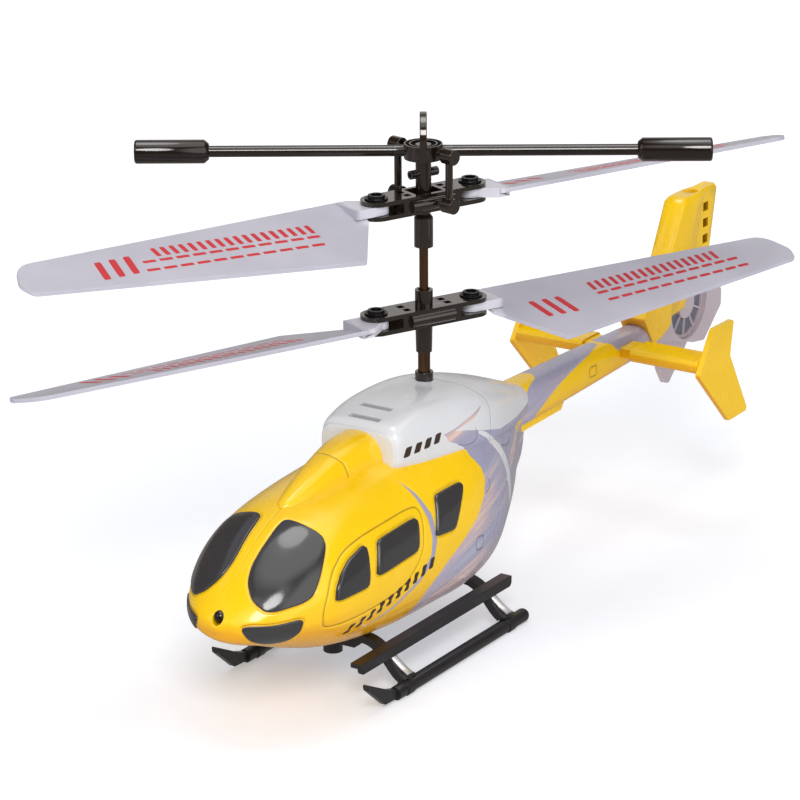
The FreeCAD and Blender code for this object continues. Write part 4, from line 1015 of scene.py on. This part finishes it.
def print_bars(outer):
    """Start, top, length, height and lean of each bar, along and across a blade."""
    mark = 71.5 if outer else 26.0
    text = 29.0 if outer else 42.0
    bars = [(mark + 3.3 * k, 0.6 - 0.3 * k, 1.5, 6.6, -1.2) for k in range(3)]
    bars += [(text + 2.05 * k, 2.2, 1.05, 3.2, 0.0) for k in range(18)]
    bars += [(text + 3.7 * k, -1.9, 2.9, 0.9, 0.0) for k in range(11)]
    bars += [(text + 0.8 + 3.7 * k, -5.0, 2.9, 0.9, 0.0) for k in range(11)]
    return bars


def make_blade_print():
    """Plain red bars printed on the upper face of every blade."""
    heads = {"upper_blade_a": 67.2, "upper_blade_b": 247.2, "lower_blade_a": 65.1,
             "lower_blade_b": 245.1}
    for node, span in heads.items():
        data = frame["nodes"][node].data
        points = [(v.co - place(0, 0, 0)) / MM for v in data.vertices]
        tree = BVHTree.FromPolygons(points, [tuple(p.vertices) for p in data.polygons])
        along = Vector((math.cos(math.radians(span)), math.sin(math.radians(span)), 0))
        lead = Vector((-along.y, along.x, 0)) * (-1 if node.startswith("upper") else 1)
        parts = []
        for start, top, length, height, lean in print_bars(along.x < 0):
            corners = [(start + lean, top), (start + lean + length, top),
                       (start + length, top - height), (start, top - height)]
            outline = []
            for r, c in rounded(corners, 2, 0.1):
                spot = along * r + lead * (c + PRINT_SLOPE * (r - PRINT_MIDDLE))
                outline.append((spot.x, spot.y, 90.0))
            parts.append(patch(tree, outline, ABOVE, 0.03, 0.1, 0.05, 2))
        body = frame["nodes"][node]["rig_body"]
        piece = fused(node + "_print", parts, body)
        finish_piece(piece, RED_PRINT, "blade_grey")


# ---- fan recess ----
WEB_HALF = 0.46
WEB_INNER_R = 3.2


def make_fan_disc():
    """The dark web behind the spokes."""
    low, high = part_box("tail_fan")
    centre = (low + high) / 2
    radius = (high.z - low.z) / 2 / MM - 0.9
    points = []
    count = 72
    for x in (-WEB_HALF, WEB_HALF):
        for r in (radius, WEB_INNER_R):
            for k in range(count):
                turn = 2 * math.pi * k / count
                points.append((x, (centre.y - MAST_Y) / MM + r * math.cos(turn),
                               (centre.z + GROUND) / MM + r * math.sin(turn)))
    faces = []
    for k in range(count):
        n = (k + 1) % count
        faces.append((k, n, count + n, count + k))
        faces.append((2 * count + k, 3 * count + k, 3 * count + n, 2 * count + n))
        faces.append((k, 2 * count + k, 2 * count + n, n))
        faces.append((count + k, count + n, 3 * count + n, 3 * count + k))
    disc = new_object("tail_fan_web", points, faces, "airframe", smooth=False)
    finish_piece(disc, FAN_RECESS, "duct_grey")


# ---- painted highlight bands on the skid struts ----
STRUT_Y = (-35.7, 3.6)
STRUT_PATH = [(13.6, 7.7), (14.9, 6.5), (16.5, 5.2), (18.4, 4.0)]


def make_strut_highlights():
    """A bright painted highlight band down the outside of each strut, standing in for a reflection.
    """
    for side in ("left", "right"):
        parts = []
        for y in STRUT_Y:
            points = []
            for x, z in STRUT_PATH:
                for across, rise in ((-0.5, 0.6), (-0.5, 1.05), (1.3, 1.05), (1.3, 0.6)):
                    points.append((x + 0.57 * rise, y + across, z + 0.82 * rise))
            faces = grid_faces(len(STRUT_PATH), 4, closed=True)
            faces += [(3, 2, 1, 0), (12, 13, 14, 15)]
            parts.append((points, faces) if side == "left" else flipped(points, faces))
        strip = fused("strut_highlight_strips_" + side, parts, "airframe")
        finish_piece(strip, STRUT_HIGHLIGHT, "skid_black")


# ---- room ----
def make_floor():
    size = 3.0
    data = bpy.data.meshes.new("floor")
    data.from_pydata([(-size, -size, 0), (size, -size, 0), (size, size, 0), (-size, size, 0)], [],
                     [(0, 1, 2, 3)])
    floor = bpy.data.objects.new("floor", data)
    bpy.context.scene.collection.objects.link(floor)
    shader = Shader("floor")
    shader.surface.inputs["Emission Color"].default_value = (1, 1, 1, 1)
    spot = shader.node("ShaderNodeVectorMath", {0: shader.place()}, operation="LENGTH")
    glow = shader.range(spot.outputs["Value"], 0.05, 0.6, 0.34, 0.6)
    shader.put(shader.surface.inputs["Emission Strength"], glow)
    shader.finish(srgb("DCDFE6"), 0.6, 0.0, 0.0, 400.0)
    seen = shader.node("ShaderNodeLightPath").outputs["Is Glossy Ray"]
    dim = shader.node("ShaderNodeEmission", {"Color": (0.30, 0.28, 0.26, 1)})
    blend = shader.node("ShaderNodeMixShader", {0: seen, 1: shader.surface.outputs[0],
                                                2: dim.outputs[0]})
    shader.put(shader.tree.nodes["Material Output"].inputs[0], blend.outputs[0])
    floor.data.materials.append(shader.material)


def area_light(name, position, target, size, power, colour=(1, 1, 1)):
    data = bpy.data.lights.new(name, "AREA")
    data.shape = "DISK"
    data.size = size
    data.energy = power
    data.color = colour
    lamp = bpy.data.objects.new(name, data)
    bpy.context.scene.collection.objects.link(lamp)
    lamp.location = Vector(position)
    aim = Vector(target) - lamp.location
    lamp.rotation_euler = aim.to_track_quat("-Z", "Y").to_euler()


def make_lights():
    target = (0, MAST_Y, 0.05)
    area_light("key", (0.55, MAST_Y - 0.75, 0.75), target, 0.45, 6.5, (1.0, 0.99, 0.97))
    area_light("top", (-0.1, MAST_Y + 0.1, 1.1), target, 0.5, 2.2)
    make_world()


# direction, where its glow starts and ends, strength
SOFT_BOXES = [((0.1, 0.1, 1.0), 0.80, 0.88, 1.5), ((0.95, -0.1, 0.30), 0.86, 0.93, 1.3),
              ((-0.55, -0.75, 0.45), 0.93, 0.97, 1.1), ((0.1, -0.9, 0.75), 0.95, 0.98, 1.0),
              ((-0.45, 0.85, 0.36), 0.86, 0.96, 0.5)]


def make_world():
    """Even white light, with soft boxes in a dim warm room for the reflections."""
    world = bpy.data.worlds.new("studio")
    bpy.context.scene.world = world
    world.use_nodes = True
    nodes = world.node_tree.nodes
    links = world.node_tree.links
    direction = nodes.new("ShaderNodeTexCoord").outputs["Generated"]
    total = None
    for aim, start, end, strength in SOFT_BOXES:
        dot = nodes.new("ShaderNodeVectorMath")
        dot.operation = "DOT_PRODUCT"
        links.new(direction, dot.inputs[0])
        dot.inputs[1].default_value = Vector(aim).normalized()
        glow = nodes.new("ShaderNodeMapRange")
        links.new(dot.outputs["Value"], glow.inputs[0])
        for index, value in zip((1, 2, 3, 4), (start, end, 0.0, strength)):
            glow.inputs[index].default_value = value
        total = glow.outputs[0] if total is None else added(nodes, links, total, glow.outputs[0])
    room = nodes.new("ShaderNodeEmission")
    room.inputs[0].default_value = (0.11, 0.075, 0.055, 1)
    boxes = nodes.new("ShaderNodeEmission")
    links.new(total, boxes.inputs[1])
    reflected = nodes.new("ShaderNodeAddShader")
    links.new(room.outputs[0], reflected.inputs[0])
    links.new(boxes.outputs[0], reflected.inputs[1])
    sky = nodes["Background"]
    sky.inputs[0].default_value = (1.0, 1.0, 1.0, 1.0)
    sky.inputs[1].default_value = 0.56
    blend = nodes.new("ShaderNodeMixShader")
    links.new(nodes.new("ShaderNodeLightPath").outputs["Is Glossy Ray"], blend.inputs[0])
    links.new(sky.outputs[0], blend.inputs[1])
    links.new(reflected.outputs[0], blend.inputs[2])
    links.new(blend.outputs[0], nodes["World Output"].inputs[0])


def added(nodes, links, first, second):
    total = nodes.new("ShaderNodeMath")
    links.new(first, total.inputs[0])
    links.new(second, total.inputs[1])
    return total.outputs[0]


# ---- camera, in millimetres about the rotor mast ----
CAMERA_AZIMUTH = math.radians(32.967)
CAMERA_ELEVATION = math.radians(18.915)
CAMERA_ROLL = math.radians(-0.339)
CAMERA_DISTANCE = 806.24
CAMERA_ASIDE = -5.148
CAMERA_TARGET_Z = 50.768
LENS = 170.92


def make_camera():
    a, e, r = CAMERA_AZIMUTH, CAMERA_ELEVATION, CAMERA_ROLL
    back = Vector((math.sin(a) * math.cos(e), -math.cos(a) * math.cos(e), math.sin(e)))
    right = Vector((math.cos(a), math.sin(a), 0))
    up = back.cross(right)
    across = right * math.cos(r) + up * math.sin(r)
    upward = up * math.cos(r) - right * math.sin(r)
    spot = right * CAMERA_ASIDE + Vector((0, 0, CAMERA_TARGET_Z)) + back * CAMERA_DISTANCE
    data = bpy.data.cameras.new("camera")
    data.lens = LENS
    data.sensor_width = 36.0
    data.clip_start = 0.01
    camera = bpy.data.objects.new("camera", data)
    bpy.context.scene.collection.objects.link(camera)
    matrix = camera.matrix_world.copy()
    for row in range(3):
        matrix[row][0] = across[row]
        matrix[row][1] = upward[row]
        matrix[row][2] = back[row]
        matrix[row][3] = place(*spot)[row]
    camera.matrix_world = matrix
    bpy.context.scene.camera = camera


bpy.context.scene.view_settings.view_transform = "Standard"
body_loft = Loft(FUSELAGE, CELL)
skin_tree = make_fuselage()
make_glazing(skin_tree)
cowl_surface = make_cowl(body_loft)
make_hump(body_loft)
make_side_marks(skin_tree, cowl_surface)
make_boom()
make_refined()
make_blade_print()
make_fan_disc()
make_strut_highlights()
dress_inner_nodes()
make_floor()
make_lights()
make_camera()
